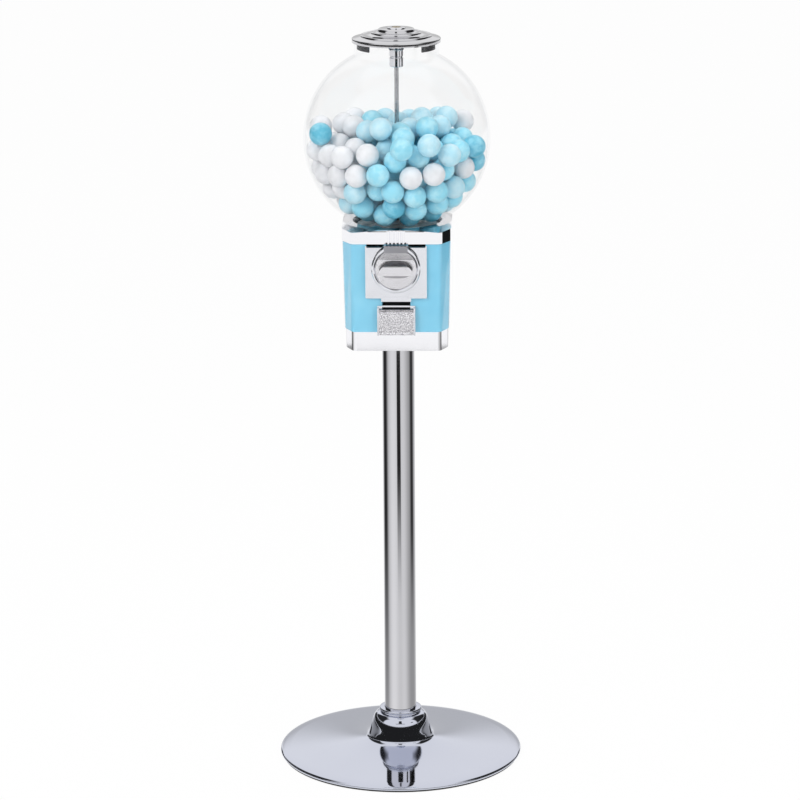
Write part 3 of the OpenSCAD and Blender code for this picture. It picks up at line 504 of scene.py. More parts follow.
# Darker zinc of the slot block: partly its own tone, partly painted shade for the dark gaps round the
# block.
DARK_ZINC_AND_SHADE = Metal("dark_zinc_and_shade", (0.6, 0.6, 0.64), (0.42, 0.42, 0.46), 0.26, 0.15, 0.00006, 1300.0)
STEEL = Metal("plated_steel", (0.6, 0.6, 0.62), (0.5, 0.5, 0.52), 0.22, 0.12, 0.00002, 1800.0, (1, 1, 0.1))
BRASS = Metal("turned_brass", (0.76, 0.62, 0.33), (0.6, 0.46, 0.22), 0.18, 0.15, 0.00002, 2200.0)
IRON = Metal("cast_iron", (0.2, 0.2, 0.21), (0.13, 0.13, 0.135), 0.55, 0.2, 0.0003, 500.0)
HAMMERED = HammeredMetal("hammered_zinc")
BLUE_PAINT = GlossPaint("blue_stoved_paint")
WHITE_PLASTIC = Plastic("white_moulding")
BLACK_PLASTIC = Plastic("black_moulding", (0.02, 0.02, 0.022), (0.035, 0.035, 0.04), 0.38)
RUBBER = Plastic("black_rubber", (0.02, 0.02, 0.02), (0.04, 0.04, 0.04), 0.62, 0.00008)
CLEAR = ClearShell("clear_globe")


class Gum(Enum):
    """Colours that the gumballs come in."""

    WHITE = Candy("gum_white", (0.78, 0.79, 0.815), (0.85, 0.86, 0.89), 0.5, 0.36)
    PALE = Candy("gum_pale_blue", (0.43, 0.76, 0.89), (0.58, 0.83, 0.92), 0.5)
    SKY = Candy("gum_sky_blue", (0.29, 0.72, 0.88), (0.45, 0.81, 0.92), 0.55)
    DEEP = Candy("gum_turquoise", (0.11, 0.5, 0.68), (0.28, 0.67, 0.82), 0.55)


# ---- mesh helpers


def spaced(start: float, end: float, steps: int) -> list[float]:
    """Evenly spaced values from start to end, one more than there are steps."""
    return [start + (end - start) * i / steps for i in range(steps + 1)]


def curve(a: Point, b: Point, c: Point, d: Point, steps: int) -> list[Point]:
    """Points of a cubic curve.

    Args:
        a: Start.
        b: Handle of the start.
        c: Handle of the end.
        d: End.
        steps: Number of steps.

    Returns:
        steps + 1 points.
    """
    points = []
    for t in spaced(0.0, 1.0, steps):
        s = 1 - t
        weights = (s * s * s, 3 * s * s * t, 3 * s * t * t, t * t * t)
        points.append(tuple(sum(w * p[k] for w, p in zip(weights, (a, b, c, d))) for k in (0, 1)))
    return points


def arc(centre: Point, radius: float, start: float, end: float, steps: int) -> list[Point]:
    """Points of an arc, one more than there are steps, from a first to a last angle in degrees."""
    angles = [math.radians(angle) for angle in spaced(start, end, steps)]
    return [(centre[0] + radius * math.cos(a), centre[1] + radius * math.sin(a)) for a in angles]


def inside_of(line: Sequence[Point], sheet: float) -> list[Point]:
    """The inner side of a sheet whose outer side is the line, moved square to it.

    Args:
        line: The outer side.
        sheet: Thickness of the sheet.

    Returns:
        The inner side, in the same order.
    """
    inner = []
    for i, (r, z) in enumerate(line):
        r0, z0 = line[max(i - 1, 0)]
        r1, z1 = line[min(i + 1, len(line) - 1)]
        length = math.hypot(r1 - r0, z1 - z0)
        inner.append((r - sheet * (z1 - z0) / length, z + sheet * (r1 - r0) / length))
    return inner


def placed(name: str, data: bpy.types.ID) -> Piece:
    """A new object with that data in the scene."""
    made = bpy.data.objects.new(name, data)
    bpy.context.scene.collection.objects.link(made)
    return made


def as_object(name: str, mesh: bmesh.types.BMesh, crease: float = 35.0) -> Piece:
    """Turns a finished bmesh into a smooth-shaded object with its creases kept sharp.

    Args:
        name: Name of the piece.
        mesh: The bmesh, which is freed.
        crease: Angle in degrees above which an edge stays sharp.

    Returns:
        The object, linked to the scene.
    """
    bmesh.ops.recalc_face_normals(mesh, faces=mesh.faces)
    data = bpy.data.meshes.new(name)
    mesh.to_mesh(data)
    mesh.free()
    data.shade_smooth()
    data.set_sharp_from_angle(angle=math.radians(crease))
    return placed(name, data)


def turned(name: str, outline: Sequence[Point], sides: int = 192, crease: float = 35.0) -> Piece:
    """Turns a closed outline in (radius, height), in millimetres, round the Z axis.

    Args:
        name: Name of the piece.
        outline: The closed outline.
        sides: Number of steps round.
        crease: Angle in degrees above which an edge stays sharp.

    Returns:
        The turned piece in metres.
    """
    mesh = bmesh.new()
    rings = []
    for i in range(sides):
        angle = math.tau * i / sides
        c, s = math.cos(angle) * MM, math.sin(angle) * MM
        rings.append([mesh.verts.new((r * c, r * s, z * MM)) for r, z in outline])
    for here, there in zip(rings, rings[1:] + rings[:1]):
        for k in range(len(outline)):
            mesh.faces.new((here[k - 1], there[k - 1], there[k], here[k]))
    return as_object(name, mesh, crease)


# ---- sub-assemblies


@dataclass
class SubAssembly:
    """Common work of all sub-assemblies.

    Attributes:
        nodes: CAD nodes by name.
        pieces: The pieces dressed and made so far.
        wears: Finishes, each with the width in millimetres of the rounding on sharp edges, or 0 for none,
            and the names of the CAD nodes that wear it.
        sharp: Angle in degrees above which an edge is sharp.
    """

    nodes: dict[str, Piece]
    pieces: list[Piece] = field(default_factory=list)
    wears: ClassVar[tuple[tuple[Finish, float, str], ...]] = ()
    sharp: ClassVar[float] = 40.0

    def dress_nodes(self) -> None:
        """Gives the CAD nodes their finishes and breaks their sharp edges."""
        for finish, edge, names in self.wears:
            for name in names.split():
                piece = finish.dress(self.nodes[name])
                if edge:
                    bevel = piece.modifiers.new("broken_edges", "BEVEL")
                    bevel.width = edge * MM
                    bevel.segments = 2
                    bevel.limit_method = "ANGLE"
                    bevel.angle_limit = math.radians(self.sharp)
                self.pieces.append(piece)

    def build(self) -> None:
        """Makes the sub-assembly's own pieces, where it has any."""

    def add_made(self, piece: Piece, body: str, slot: str, *nodes: str) -> None:
        """Puts a made piece on its body, in the place of CAD nodes if it stands for any.

        Args:
            piece: The made piece.
            body: The body it rides on.
            slot: Name of a material slot; not used.
            nodes: The CAD nodes that it replaces.
        """
        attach(piece, body)
        if nodes:
            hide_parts(*nodes)
        self.pieces.append(piece)


@dataclass
class Stand(SubAssembly):
    """Round chromed base and pole.

    Attributes:
        rim_r: Radius of the base.
        base_h: Height of the base to the top of its bead.
        foot_h: Height of the rubber ring.
        pole_r: Radius of the pole.
        pole_wall: Wall of the pole.
        sheet: Thickness of the base's sheet.
        rim_flange: Width of the flange rolled under the rim.
    """

    rim_r: float = 170.0
    base_h: float = 66.0
    foot_h: float = 3.0
    pole_r: float = 22.2
    pole_wall: float = 1.6
    sheet: float = 2.0
    rim_flange: float = 14.0
    wears = ((RUBBER, 0.0, "foot_ring"), (IRON, 0.0, "weight_plate pole_plug pole_flange"),
             (STEEL, 0.0, "base_bolt base_washer flange_screws"))

    def dome_line(self) -> list[Point]:
        """Outside of the dome.

        Returns:
            Its points from the rim up the bell to the bead.
        """
        r, h, f = self.rim_r, self.base_h, self.foot_h
        bell, bead = self.pole_r + 18.5, self.pole_r + 7
        flare, flare_z = bell + 6.5, h * 0.35
        return (
            curve((r, f + 1.5), (r, f + 4), (r - 3, f + 5), (r - 8, f + 5.8), 14)
            + curve((r - 14, f + 6.6), (r * 0.66, f + 10), (flare + 24, flare_z - 7.5),
                    (flare + 4, flare_z - 1.4), 60)
            + curve((flare + 1.4, flare_z - 0.4), (flare - 1, flare_z + 0.6), (bell + 4.6, flare_z + 2.4),
                    (bell + 3.6, flare_z + 6), 16)
            + curve((bell + 3, flare_z + 8.2), (bell - 0.4, h * 0.66), (bell - 1.2, h * 0.885),
                    (bead - 0.8, h * 0.905), 40))

    def build(self) -> None:
        """Builds the smooth base and pole."""
        r, h, f = self.rim_r, self.base_h, self.foot_h
        bead, sleeve = self.pole_r + 7, self.pole_r + 0.3
        line = self.dome_line()
        outline = (
            line
            + curve((bead - 0.8, h * 0.93), (bead + 1.2, h * 0.94), (bead + 1.2, h), (bead - 1.6, h), 14)
            + [(sleeve, h), (sleeve, h * 0.7), (sleeve + self.sheet, h * 0.7),
               (sleeve + self.sheet, h * 0.905 - self.sheet)]
            + inside_of(line, self.sheet)[::-1]
            + [(r - self.rim_flange, f + 1.5), (r - self.rim_flange, f), (r - 1, f)]
        )
        base = turned("base_dome_shell", outline, 256)
        low, high = (corner.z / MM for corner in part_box("pole"))
        inner = self.pole_r - self.pole_wall
        pole = turned("pole_tube", [(self.pole_r, low), (self.pole_r, high), (inner, high), (inner, low)])
        for piece, node, finish in ((base, "base_dome", BASE_CHROME), (pole, "pole", CHROME)):
            self.add_made(finish.dress(piece), "stand", "chrome", node)


@dataclass
class Body(SubAssembly):
    """Square body with its chromed trim and collar, coin box and chute.

    Attributes:
        front_y: Where the body's front lies.
        over: How far the collar stands proud of it.
        ribs: Number of ribs on the collar's front.
        pitch: Distance from rib to rib.
        proud: How far the ribs stand proud of the collar.
        slot: Width and height of the black box of painted shade at the foot of each groove.
        rib_shade_z: Height of these boxes above the collar's lower end.
        top_shade: Width and height of the black boxes of painted shade under the collar's top edge.
        top_shade_x: Distance of their middles from the middle of the front.
        top_shade_z: Distance of their lower ends below the collar's upper end.
        top_shade_out: How far they stand proud of the collar.
        shade_deep: Depth of all these boxes.
    """

    front_y: float = -73.35
    over: float = 1.0
    ribs: int = 5
    pitch: float = 4.96
    proud: float = 2.1
    slot: Point = (2.3, 1.9)
    rib_shade_z: float = 4.2
    top_shade: Point = (26.0, 0.9)
    top_shade_x: float = 25.0
    top_shade_z: float = 2.2
    top_shade_out: float = 0.15
    shade_deep: float = 0.9
    # The black coin box and chute also stand in for the shade inside the body seen through its gaps: partly
    # painted shade.
    wears = ((BLUE_PAINT, 0.5, "body_shell"), (CHROME_TRIM, 0.8, "base_trim"), (CHROME_TRIM, 1.2, "collar"),
             (BLACK_PLASTIC, 0.0, "coin_box chute"), (SATIN_ZINC, 0.4, "chute_frame"),
             (HAMMERED, 0.3, "chute_door"), (STEEL, 0.0, "hinge_pin"))

    def collar_painted_shade(self) -> Piece:
        """Builds black boxes of painted shade at the foot of the collar's ribs and under its top edge.

        Returns:
            The piece.
        """
        low, high = (corner.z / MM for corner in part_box("collar"))
        face = self.front_y - self.over
        # Painted shade: black boxes where the feet of the grooves and the gap under the top edge lie in
        # shadow.
        boxes = [((i - self.ribs / 2) * self.pitch, face - self.proud, low + self.rib_shade_z, self.slot)
                 for i in range(self.ribs + 1)]
        boxes += [(side * self.top_shade_x, face - self.top_shade_out, high - self.top_shade_z, self.top_shade)
                  for side in (-1, 1)]
        mesh = bmesh.new()
        for x, y, z, (width, height) in boxes:
            middle = Vector((x, y + self.shade_deep / 2, z + height / 2)) * MM
            size = Vector((width, self.shade_deep, height)) * MM
            bmesh.ops.create_cube(mesh, size=1.0, matrix=Matrix.LocRotScale(middle, None, size))
        return as_object("collar_painted_shade", mesh)

    def build(self) -> None:
        """Builds the collar's black boxes of painted shade."""
        # Painted shade: the collar's black boxes stand in for the shadow in its grooves and under its top
        # edge.
        self.add_made(BLACK_PLASTIC.dress(self.collar_painted_shade()), "stand", "black_plastic")


@dataclass
class CoinMechanism(SubAssembly):
    """Coin plate, knob and the works behind them."""

    # The slot block's darker zinc is partly painted shade for the gaps round it.
    wears = ((SATIN_ZINC, 0.35, "coin_plate"), (KNOB_ZINC, 0.4, "knob"), (DARK_ZINC_AND_SHADE, 0.3, "slot_block"),
             (STEEL, 0.0, "coin_carrier knob_shaft ratchet pawl pawl_pin pawl_spring mech_pillars "
                          "back_plate plate_screws"),
             (BRASS, 0.0, "shaft_bushing"), (WHITE_PLASTIC, 0.0, "drive_pinion"))


@dataclass
class GlobeAndWheel(SubAssembly):
    """Clear globe, its gaskets, the dispensing wheel and its housing.

    Attributes:
        radius: Radius of the globe.
        wall: Wall of the globe.
        neck_r: Outer radius of both necks.
        neck_h: Length of the lower neck.
    """

    radius: float = 127.0
    wall: float = 2.5
    neck_r: float = 57.0
    neck_h: float = 3.0
    wears = ((RUBBER, 0.0, "globe_gasket lid_gasket"), (WHITE_PLASTIC, 0.0, "dispensing_wheel drop_cover"),
             (BLACK_PLASTIC, 0.0, "wheel_housing"), (STEEL, 0.0, "centre_rod rod_washer rod_nut"))

    def side_of_wall(self, inwards: float) -> list[Point]:
        """One side of the globe's wall from the lower to the upper neck's end.

        Args:
            inwards: How far the side lies in from the outside.

        Returns:
            The side's points.
        """
        low, high = (corner.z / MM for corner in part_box("globe"))
        centre = low + self.neck_h + math.sqrt(self.radius**2 - self.neck_r**2)
        radius, neck_r = self.radius - inwards, self.neck_r - inwards
        tilt = math.degrees(math.acos(neck_r / radius))
        return [(neck_r, low)] + arc((0, centre), radius, -tilt, tilt, 96) + [(neck_r, high)]

    def build(self) -> None:
        """Builds the smooth globe."""
        outline = self.side_of_wall(0.0) + self.side_of_wall(self.wall)[::-1]
        globe = turned("globe_shell", outline, 256, 60.0)
        self.add_made(CLEAR.dress(globe), "stand", "clear", "globe")


@dataclass
class Lid(SubAssembly):
    """Chromed stepped lid with its lock and the clips that centre it.

    Attributes:
        radius: Radius of the lid.
        rise: Rise from its rim to its middle.
        sheet: Thickness of the sheet.
        hole: Radius of the hole for the lock.
        rim_drop: How far the rim hangs below the lid's seat.
    """

    radius: float = 60.2
    rise: float = 16.0
    sheet: float = 1.6
    hole: float = 9.57
    rim_drop: float = 2.2
    wears = ((BLACK_PLASTIC, 0.0, "lid_clips"), (CHROME, 0.0, "lock_barrel"), (STEEL, 0.0, "lock_nut"),
             (BRASS, 0.0, "lock_plug"))

    def outside(self) -> list[Point]:
        """Outside of the lid.

        Returns:
            Its points from the rim to the raised disc.
        """
        r, h = self.radius, self.rise
        return (
            [(r, -self.rim_drop)]
            + curve((r, 1.6), (r, 3.2), (r - 1.4, 3.6), (r - 3, 3.9), 10)
            + [(r * 0.84, h * 0.33)]
            + curve((r * 0.81, h * 0.36), (r * 0.8, h * 0.5),
                    (r * 0.77, h * 0.52), (r * 0.745, h * 0.46), 12)
            + [(r * 0.6, h * 0.57)]
            + curve((r * 0.575, h * 0.6), (r * 0.565, h * 0.74),
                    (r * 0.535, h * 0.76), (r * 0.51, h * 0.7), 12)
            + curve((r * 0.43, h * 0.76), (r * 0.415, h * 0.8), (r * 0.41, h), (r * 0.37, h), 12))

    def build(self) -> None:
        """Builds the smooth lid."""
        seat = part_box("lid")[0].z / MM + self.rim_drop
        line = self.outside()
        outline = line + [(self.hole, self.rise), (self.hole, self.rise - self.sheet)]
        outline += inside_of(line, self.sheet)[::-1]
        lid = turned("lid_cap", [(r, z + seat) for r, z in outline], 192, 50.0)
        self.add_made(LID_CHROME.dress(lid), "lid", "chrome", "lid")


@dataclass
class Gumballs(SubAssembly):
    """The heap of gumballs in the globe and those in the wheel's pockets.

    Attributes:
        rings: Steps of each ball from pole to pole.
        sides: Steps of each ball round.
        seed: Seed of the colours.
        dent: How uneven a ball is, as a share of its radius.
        left_of: Balls further to the left than this, in millimetres, are white.
        right_of: Balls on the crest further to the right than this are white as well.
        crest: Height above which the balls are paler, in millimetres.
        white_mix: Colours of the white balls, each with the draw below which it is taken.
        crest_mix: The same for the crest.
        heap_mix: The same for the rest of the heap.
        front_pull: How much a ball nearer the front is preferred for a spot.
        spots: Colours of single balls at the front that stand out, with their places in millimetres across
            and up as seen from the front.
    """

    rings: int = 20
    sides: int = 40
    seed: int = 11
    dent: float = 0.006
    left_of: float = -45.0
    right_of: float = 67.5
    crest: float = 888.0
    white_mix: tuple[tuple[float, Gum], ...] = ((0.93, Gum.WHITE), (1.0, Gum.PALE))
    crest_mix: tuple[tuple[float, Gum], ...] = ((0.8, Gum.PALE), (1.0, Gum.SKY))
    heap_mix: tuple[tuple[float, Gum], ...] = ((0.74, Gum.SKY), (0.9, Gum.PALE), (1.0, Gum.DEEP))
    front_pull: float = 0.1
    spots: tuple[tuple[Gum, tuple[Point, ...]], ...] = (
        (Gum.WHITE, ((52, 847), (21, 844), (90, 846), (-37, 873), (88, 893))),
        (Gum.PALE, ((-12, 874), (73, 872), (46, 888), (-63, 796), (77, 822))),
        (Gum.SKY, ((9, 884), (-23, 848), (6, 894), (11, 892), (-3, 825), (26, 816), (55, 821))),
        (Gum.DEEP, ((-101, 893), (105, 874), (47, 785), (18, 781))))

    def centres(self, node: str) -> list[Vector]:
        """Middle of each ball of a node, in metres.

        Args:
            node: Name of the CAD node.

        Returns:
            One point for each ball.
        """
        mesh = bmesh.new()
        mesh.from_mesh(self.nodes[node].data)
        bmesh.ops.remove_doubles(mesh, verts=mesh.verts, dist=1e-6)
        left, found = set(mesh.verts), []
        while left:
            front = {left.pop()}
            ball = set(front)
            while front:
                front = {link.other_vert(vert) for vert in front for link in vert.link_edges} & left
                left -= front
                ball |= front
            low, high = (Vector([end(vert.co[k] for vert in ball) for k in range(3)]) for end in (min, max))
            found.append((low + high) / 2)
        mesh.free()
        return sorted(found, key=lambda c: (round(c.z, 5), round(c.x, 5), round(c.y, 5)))

    def colour_of(self, centre: Vector, chance: random.Random) -> Gum:
        """Colour of the ball at a place: white at the left, pale along the crest, blue elsewhere.

        Args:
            centre: Middle of the ball in metres.
            chance: Source of the irregularity.

        Returns:
            The colour.
        """
        across, up, draw = centre.x / MM, centre.z / MM, chance.random()
        mix = self.crest_mix if up > self.crest else self.heap_mix
        if across < self.left_of or (up > self.crest and across > self.right_of):
            mix = self.white_mix
        return next(gum for level, gum in mix if draw < level)

    def nearest(self, centres: Sequence[Vector], x: float, z: float) -> int:
        """Number of the ball nearest to a spot, with balls nearer the front preferred."""
        away = [math.hypot(c.x - x * MM, c.z - z * MM) + self.front_pull * c.y for c in centres]
        return away.index(min(away))

    def colours(self, centres: Sequence[Vector]) -> list[Gum]:
        """Colour of each ball, with the single ones at the front that stand out in their places.

        Args:
            centres: Middles of the balls.

        Returns:
            One colour for each ball.
        """
        chance = random.Random(self.seed)
        chosen = [self.colour_of(c, chance) for c in centres]
        for gum, places in self.spots:
            for x, z in places:
                chosen[self.nearest(centres, x, z)] = gum
        return chosen

    def unit_ball(self) -> tuple[list[Vector], list[tuple[int, ...]]]:
        """Points and faces of a ball of radius 1.

        Returns:
            The points and the faces.
        """
        mesh = bmesh.new()
        bmesh.ops.create_uvsphere(mesh, u_segments=self.sides, v_segments=self.rings, radius=1.0)
        mesh.verts.index_update()
        points = [vert.co.copy() for vert in mesh.verts]
        faces = [tuple(vert.index for vert in face.verts) for face in mesh.faces]
        mesh.free()
        return points, faces

    def balls(self, name: str, centres: Sequence[Vector], radius: float) -> Piece:
        """One mesh of slightly irregular balls.

        Args:
            name: Name of the piece.
            centres: Middles of the balls in metres.
            radius: Radius of the balls in metres.

        Returns:
            The piece.
        """
        unit, unit_faces = self.unit_ball()
        gums = list(Gum)
        points, faces, slots = [], [], []
        for centre, gum in zip(centres, self.colours(centres)):
            start = len(points)
            for way in unit:
                hollow = 1 + noise.noise(way * 1.4 + centre * 300)
                points.append(centre + way * radius * (1 - self.dent * hollow))
            faces += [tuple(start + v for v in face) for face in unit_faces]
            slots += [gums.index(gum)] * len(unit_faces)
        data = bpy.data.meshes.new(name)
        data.from_pydata(points, [], faces)
        data.shade_smooth()
        for gum in gums:
            data.materials.append(gum.value.material())
        data.polygons.foreach_set("material_index", slots)
        return placed(name, data)

    def build(self) -> None:
        """Builds the balls of the heap and of the wheel."""
        for node, name, body in (("gumballs", "gumball_heap", "stand"),
                                 ("wheel_gumballs", "pocket_gumballs", "wheel")):
            centres = self.centres(node)
            radius = min(c.z for c in centres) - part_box(node)[0].z
            self.add_made(self.balls(name, centres, radius), body, "gum", node)


# ---- studio


def about(turn: float, level: float, up: float) -> Vector:
    """Place in a direction in degrees from the front, at a level distance from the pole and a height."""
    angle = math.radians(turn)
    return Vector((level * math.sin(angle), -level * math.cos(angle), up))


def eased(share: float) -> float:
    """A share from 0 to 1, clamped, with soft ends."""
    share = min(1.0, max(0.0, share))
    return share * share * (3 - 2 * share)


@dataclass(frozen=True)
class Stripe:
    """A dark stripe that runs outwards on the mirrored sheet round the machine.

    Attributes:
        direction: Its direction in degrees from the front.
        half: Half its width in degrees.
        soft: Degrees over which its sides fade.
        light: How bright its middle is.
        near: Distance from the pole at which it begins.
        fade: Distance over which it comes in.
    """

    direction: float
    half: float
    soft: float
    light: float
    near: float = -1.0
    fade: float = 0.1

    def dimming(self, azimuth: float, distance: float) -> float:
        """How much light it leaves at a place.

        Args:
            azimuth: Direction of the place in degrees from the front.
            distance: Distance of the place from the pole.

        Returns:
            The share of light that is left.
        """
        off = abs((azimuth - self.direction + 180.0) % 360.0 - 180.0)
        across = eased((self.half + self.soft - off) / self.soft)
        return 1 - (1 - self.light) * across * eased((distance - self.near) / self.fade)


@dataclass(frozen=True)
class RoomPart:
    """A dim part of the room, between directions from the front and heights above level.

    Attributes:
        left: Its left edge in degrees.
        right: Its right edge.
        low: Its lower edge.
        high: Its upper edge.
        light: How bright its middle is.
        soft: Degrees over which its edges fade.
    """

    left: float
    right: float
    low: float
    high: float
    light: float = 0.02
    soft: float = 3.0

    def dimming(self, turn: float, up: float) -> float:
        """How bright it is in a direction and at a height in degrees, up to 1 at the edges."""
        inwards = min(up - self.low, self.high - up, turn - self.left, self.right - turn)
        return 1 - (1 - self.light) * eased(inwards / self.soft)


@dataclass(frozen=True)
class Lamp:
    """A soft square lamp.

    Attributes:
        name: Its name.
        place: Where it hangs.
        size: Its side.
        power: Its power in watts.
        target: Height above the floor, on the pole's axis, that it points at.
    """

    name: str
    place: Place
    size: float
    power: float
    target: float = 0.75

    def hang(self) -> None:
        """Hangs the lamp where neither the camera nor a mirror sees it."""
        data = bpy.data.lights.new(self.name, "AREA")
        data.shape, data.size, data.energy = "SQUARE", self.size, self.power
        lamp = placed(self.name, data)
        lamp.location = self.place
        aim = Vector((0, 0, self.target)) - Vector(self.place)
        lamp.rotation_euler = aim.to_track_quat("-Z", "Y").to_euler()
        lamp.visible_camera = lamp.visible_glossy = False


@dataclass
class Studio:
    """Floor, soft lights, the dark parts of the room that the chrome mirrors, and the camera.

    Attributes:
        camera_h: Height of the camera.
        camera_away: Distance of the camera from the pole, level.
        camera_side: How far the camera stands round to the right, in degrees.
        pitch: How far it looks down, in degrees.
        roll: Its lean, in degrees.
        lens: Focal length for a 36 mm sensor.
        aim: How far it looks past the pole, in degrees.
        card_away: Distance of the near dark cards from the pole.
        cards: Direction in degrees from the front, width, lower and upper edge in metres of each near card.
        card_light: How bright they are.
        room_r: Radius of the ball that the dark parts of the room lie on.
        room_up: Height of its middle.
        dark_parts: Dark parts of the room.
        sheet_near: Inner radius of the mirrored sheet on the floor.
        sheet_far: Its outer radius in front of the machine.
        tail_fade: How far the stripes at the sides run on and fade beyond that.
        tail_from: Direction in degrees at which that tail begins.
        tail_gap: Direction, on each side, round which it stays light for the trim's chamfers to mirror.
        tail_gap_half: Half the width in degrees of that gap.
        tail_soft: Degrees over which the tail comes in, and over which it ends at the gap.
        sheet_up: How far the sheet lies above the floor, and its tail outside it.
        sheet_light: How bright the sheet is without its stripes.
        stripes: Dark stripes on the sheet.
        floor_grey: Colour of the paper on the floor.
        floor_glow: How much of it reads as plain white.
        world_light: How bright the surroundings are as light. To look at they are white.
        lamps: The soft lamps.
    """

    camera_h: float = 1.72
    camera_away: float = 4.6
    camera_side: float = 1.75
    pitch: float = 14.7
    roll: float = -0.36
    lens: float = 154.8
    aim: float = -0.025
    card_away: float = 1.25
    cards: tuple[tuple[float, float, float, float], ...] = (
        (122, 0.5, 0.43, 0.57), (0, 0.9, 0.75, 0.83), (112, 0.8, 0.75, 0.83), (54, 0.25, 0.74, 0.86))
    card_light: float = 0.01
    room_r: float = 9.0
    room_up: float = 0.3
    dark_parts: tuple[RoomPart, ...] = (
        RoomPart(-157, 157, -5, 16), RoomPart(-150, -72, 10, 62, 0.03, 9),
        RoomPart(72, 150, 10, 62, 0.03, 9), RoomPart(-9, 9, 30, 58, 0.04),
        RoomPart(-60, 60, 84, 98), RoomPart(157, 203, -5, 20, 0.62, 9))
    sheet_near: float = 0.19
    sheet_far: float = 2.47
    tail_fade: float = 1.05
    tail_from: float = 30.0
    tail_gap: float = 132.0
    tail_gap_half: float = 7.0
    tail_soft: tuple[float, float] = (10, 4)
    sheet_up: float = 0.001
    sheet_light: float = 0.92
    stripes: tuple[Stripe, ...] = (
        Stripe(1.5, 10.5, 5, 0.03, 0.6, 0.95), Stripe(5, 2, 40, 0.82),
        Stripe(-112, 10, 28, 0.05, -0.45, 1.7), Stripe(106, 6, 22, 0.1, 0.35, 0.85),
        Stripe(-105, 10, 50, 0.6), Stripe(100, 10, 75, 0.42))
    floor_grey: Colour = (0.86, 0.86, 0.86)
    floor_glow: float = 0.96
    world_light: float = 0.66
    lamps: tuple[Lamp, ...] = (
        Lamp("key_lamp", (-1.8, -2.2, 2.6), 1.6, 42.0), Lamp("fill_lamp", (2.2, -1.8, 1.8), 1.6, 20.0),
        Lamp("top_lamp", (0.2, 0.6, 2.9), 1.8, 22.0))

    def floor(self) -> None:
        """Lays the pale floor, which reads white to the camera and keeps a soft shadow."""
        bpy.ops.mesh.primitive_plane_add(size=60)
        floor = bpy.context.object
        floor.name = "studio_floor"
        material = bpy.data.materials.new("floor_paper")
        graph = Graph(material)
        paper = graph.add("ShaderNodeBsdfDiffuse", {"Color": (*self.floor_grey, 1.0)})["BSDF"]
        graph.surface(graph.add("ShaderNodeMixShader", {
            0: graph.seen() * self.floor_glow, 1: paper, 2: graph.glow(1.0)})["Shader"])
        floor.data.materials.append(material)

    def mirrored_only(self, name: str, grid: Grid) -> None:
        """Adds a glowing sheet of the room that only mirroring surfaces see.

        Args:
            name: Name of the piece.
            grid: Rows of places in metres, each with its brightness.
        """
        places = [place for row in grid for place in row]
        n = len(grid[0])
        faces = [(i * n + k, i * n + k + 1, (i + 1) * n + k + 1, (i + 1) * n + k)
                 for i in range(len(grid) - 1) for k in range(n - 1)]
        data = bpy.data.meshes.new(name)
        data.from_pydata([tuple(point) for point, _ in places], [], faces)
        light = data.attributes.new("light", "FLOAT", "POINT").data
        light.foreach_set("value", [value for _, value in places])
        piece = placed(name, data)
        material = bpy.data.materials.new(name)
        graph = Graph(material)
        graph.surface(graph.glow(graph.add("ShaderNodeAttribute", attribute_name="light")["Fac"]))
        data.materials.append(material)
        for way in ("camera", "diffuse", "shadow", "transmission", "volume_scatter"):
            setattr(piece, f"visible_{way}", False)

    def patch(self, part: RoomPart) -> Grid:
        """Lays out a dark part of the room on a big ball about the machine.

        Args:
            part: The part of the room.

        Returns:
            The patch's grid.
        """
        grid = []
        for up in spaced(part.low, part.high, 24):
            level = self.room_r * math.cos(math.radians(up))
            height = self.room_r * math.sin(math.radians(up)) + self.room_up
            grid.append([(about(turn, level, height), part.dimming(turn, up))
                         for turn in spaced(part.left, part.right, 72)])
        return grid

    def sheet_glow(self, turn: float, away: float) -> float:
        """How bright the sheet on the floor is at a place.

        Args:
            turn: Direction of the place in degrees from the front.
            away: Distance of the place from the pole.

        Returns:
            The brightness.
        """
        light = self.sheet_light * math.prod(stripe.dimming(turn, away) for stripe in self.stripes)
        if away <= self.sheet_far:
            return light
        share = eased((abs(turn) - self.tail_from) / self.tail_soft[0])
        share *= eased((abs(abs(turn) - self.tail_gap) - self.tail_gap_half) / self.tail_soft[1])
        return 1 - (1 - light) * share * (1 - eased((away - self.sheet_far) / self.tail_fade))

    def sheet(self) -> Grid:
        """Lays out the sheet whose stripes run up the mirroring pole.

        Returns:
            The sheet's grid.
        """
        tail = self.sheet_far + self.sheet_up
        rings = spaced(self.sheet_near, self.sheet_far, 40) + spaced(tail, tail + self.tail_fade, 12)
        return [[(about(turn, away, self.sheet_up), self.sheet_glow(turn, away))
                 for turn in spaced(-180.0, 180.0, 240)] for away in rings]

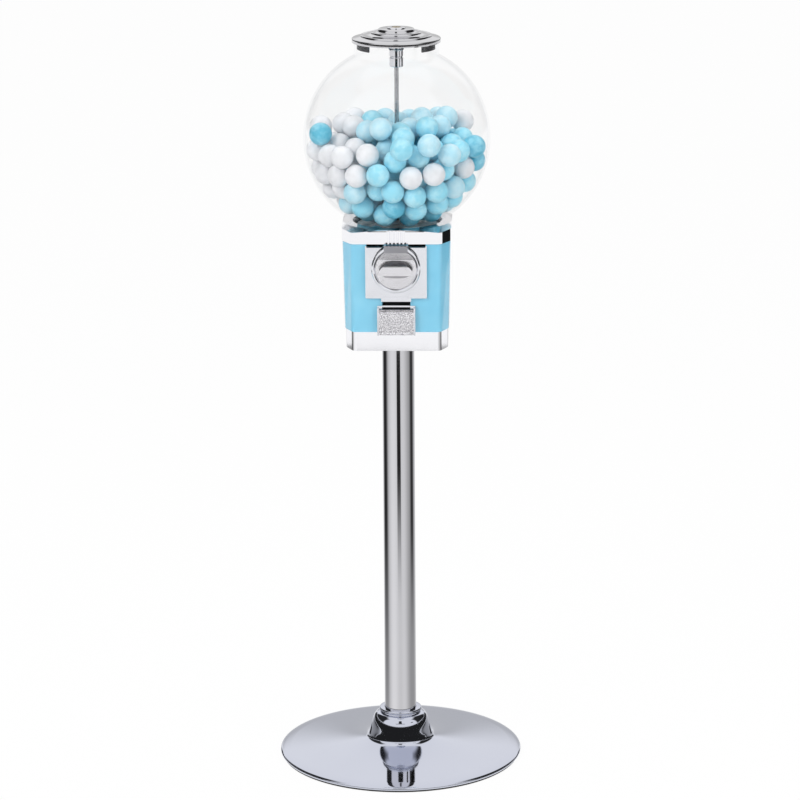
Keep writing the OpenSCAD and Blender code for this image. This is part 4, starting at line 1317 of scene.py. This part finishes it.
    def dark_room(self) -> None:
        """Darkens the parts of the room and of the floor that the chrome mirrors darkly."""
        for number, part in enumerate(self.dark_parts):
            self.mirrored_only(f"room_dark_{number}", self.patch(part))
        for number, (direction, width, low, high) in enumerate(self.cards):
            along = about(direction + 90.0, width / 2, 0.0)
            self.mirrored_only(f"near_card_{number}", [
                [(about(direction, self.card_away, up) + side * along, self.card_light) for side in (-1, 1)]
                for up in (low, high)])
        self.mirrored_only("floor_stripes", self.sheet())

    def world(self) -> None:
        """Makes the surroundings white to look at and soft as light."""
        world = bpy.data.worlds.new("studio_world")
        bpy.context.scene.world = world
        graph = Graph(world)
        light = self.world_light + graph.seen() * (1 - self.world_light)
        inputs = {"Color": WHITE_LIGHT, "Strength": light}
        background = graph.add("ShaderNodeBackground", inputs)["Background"]
        graph.add("ShaderNodeOutputWorld", {"Surface": background})

    def camera(self) -> None:
        """Sets the camera up in front of the machine."""
        data = bpy.data.cameras.new("camera")
        data.sensor_width = 36.0
        data.lens = self.lens
        camera = placed("camera", data)
        camera.location = about(self.camera_side, self.camera_away, self.camera_h)
        camera.rotation_mode = "QUATERNION"
        yaw = math.radians(self.camera_side + self.aim)
        turn = Euler((math.radians(90 - self.pitch), 0, yaw)).to_quaternion()
        camera.rotation_quaternion = turn @ Euler((0, 0, math.radians(self.roll))).to_quaternion()
        bpy.context.scene.camera = camera

    def build(self) -> None:
        """Builds the whole studio."""
        bpy.context.scene.view_settings.view_transform = "Standard"
        self.world()
        self.floor()
        self.dark_room()
        for lamp in self.lamps:
            lamp.hang()
        self.camera()


def main() -> None:
    """Builds every sub-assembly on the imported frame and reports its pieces."""
    logging.basicConfig(level=logging.INFO, format="%(name)s: %(message)s")
    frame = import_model()
    for kind in (Stand, Body, CoinMechanism, GlobeAndWheel, Lid, Gumballs):
        part = kind(frame["nodes"])
        part.dress_nodes()
        part.build()
        for piece in part.pieces:
            log.info("%s: %s with %d faces", kind.__name__, piece.name, len(piece.data.polygons))
    Studio().build()


if __name__ == "__main__":
    main()
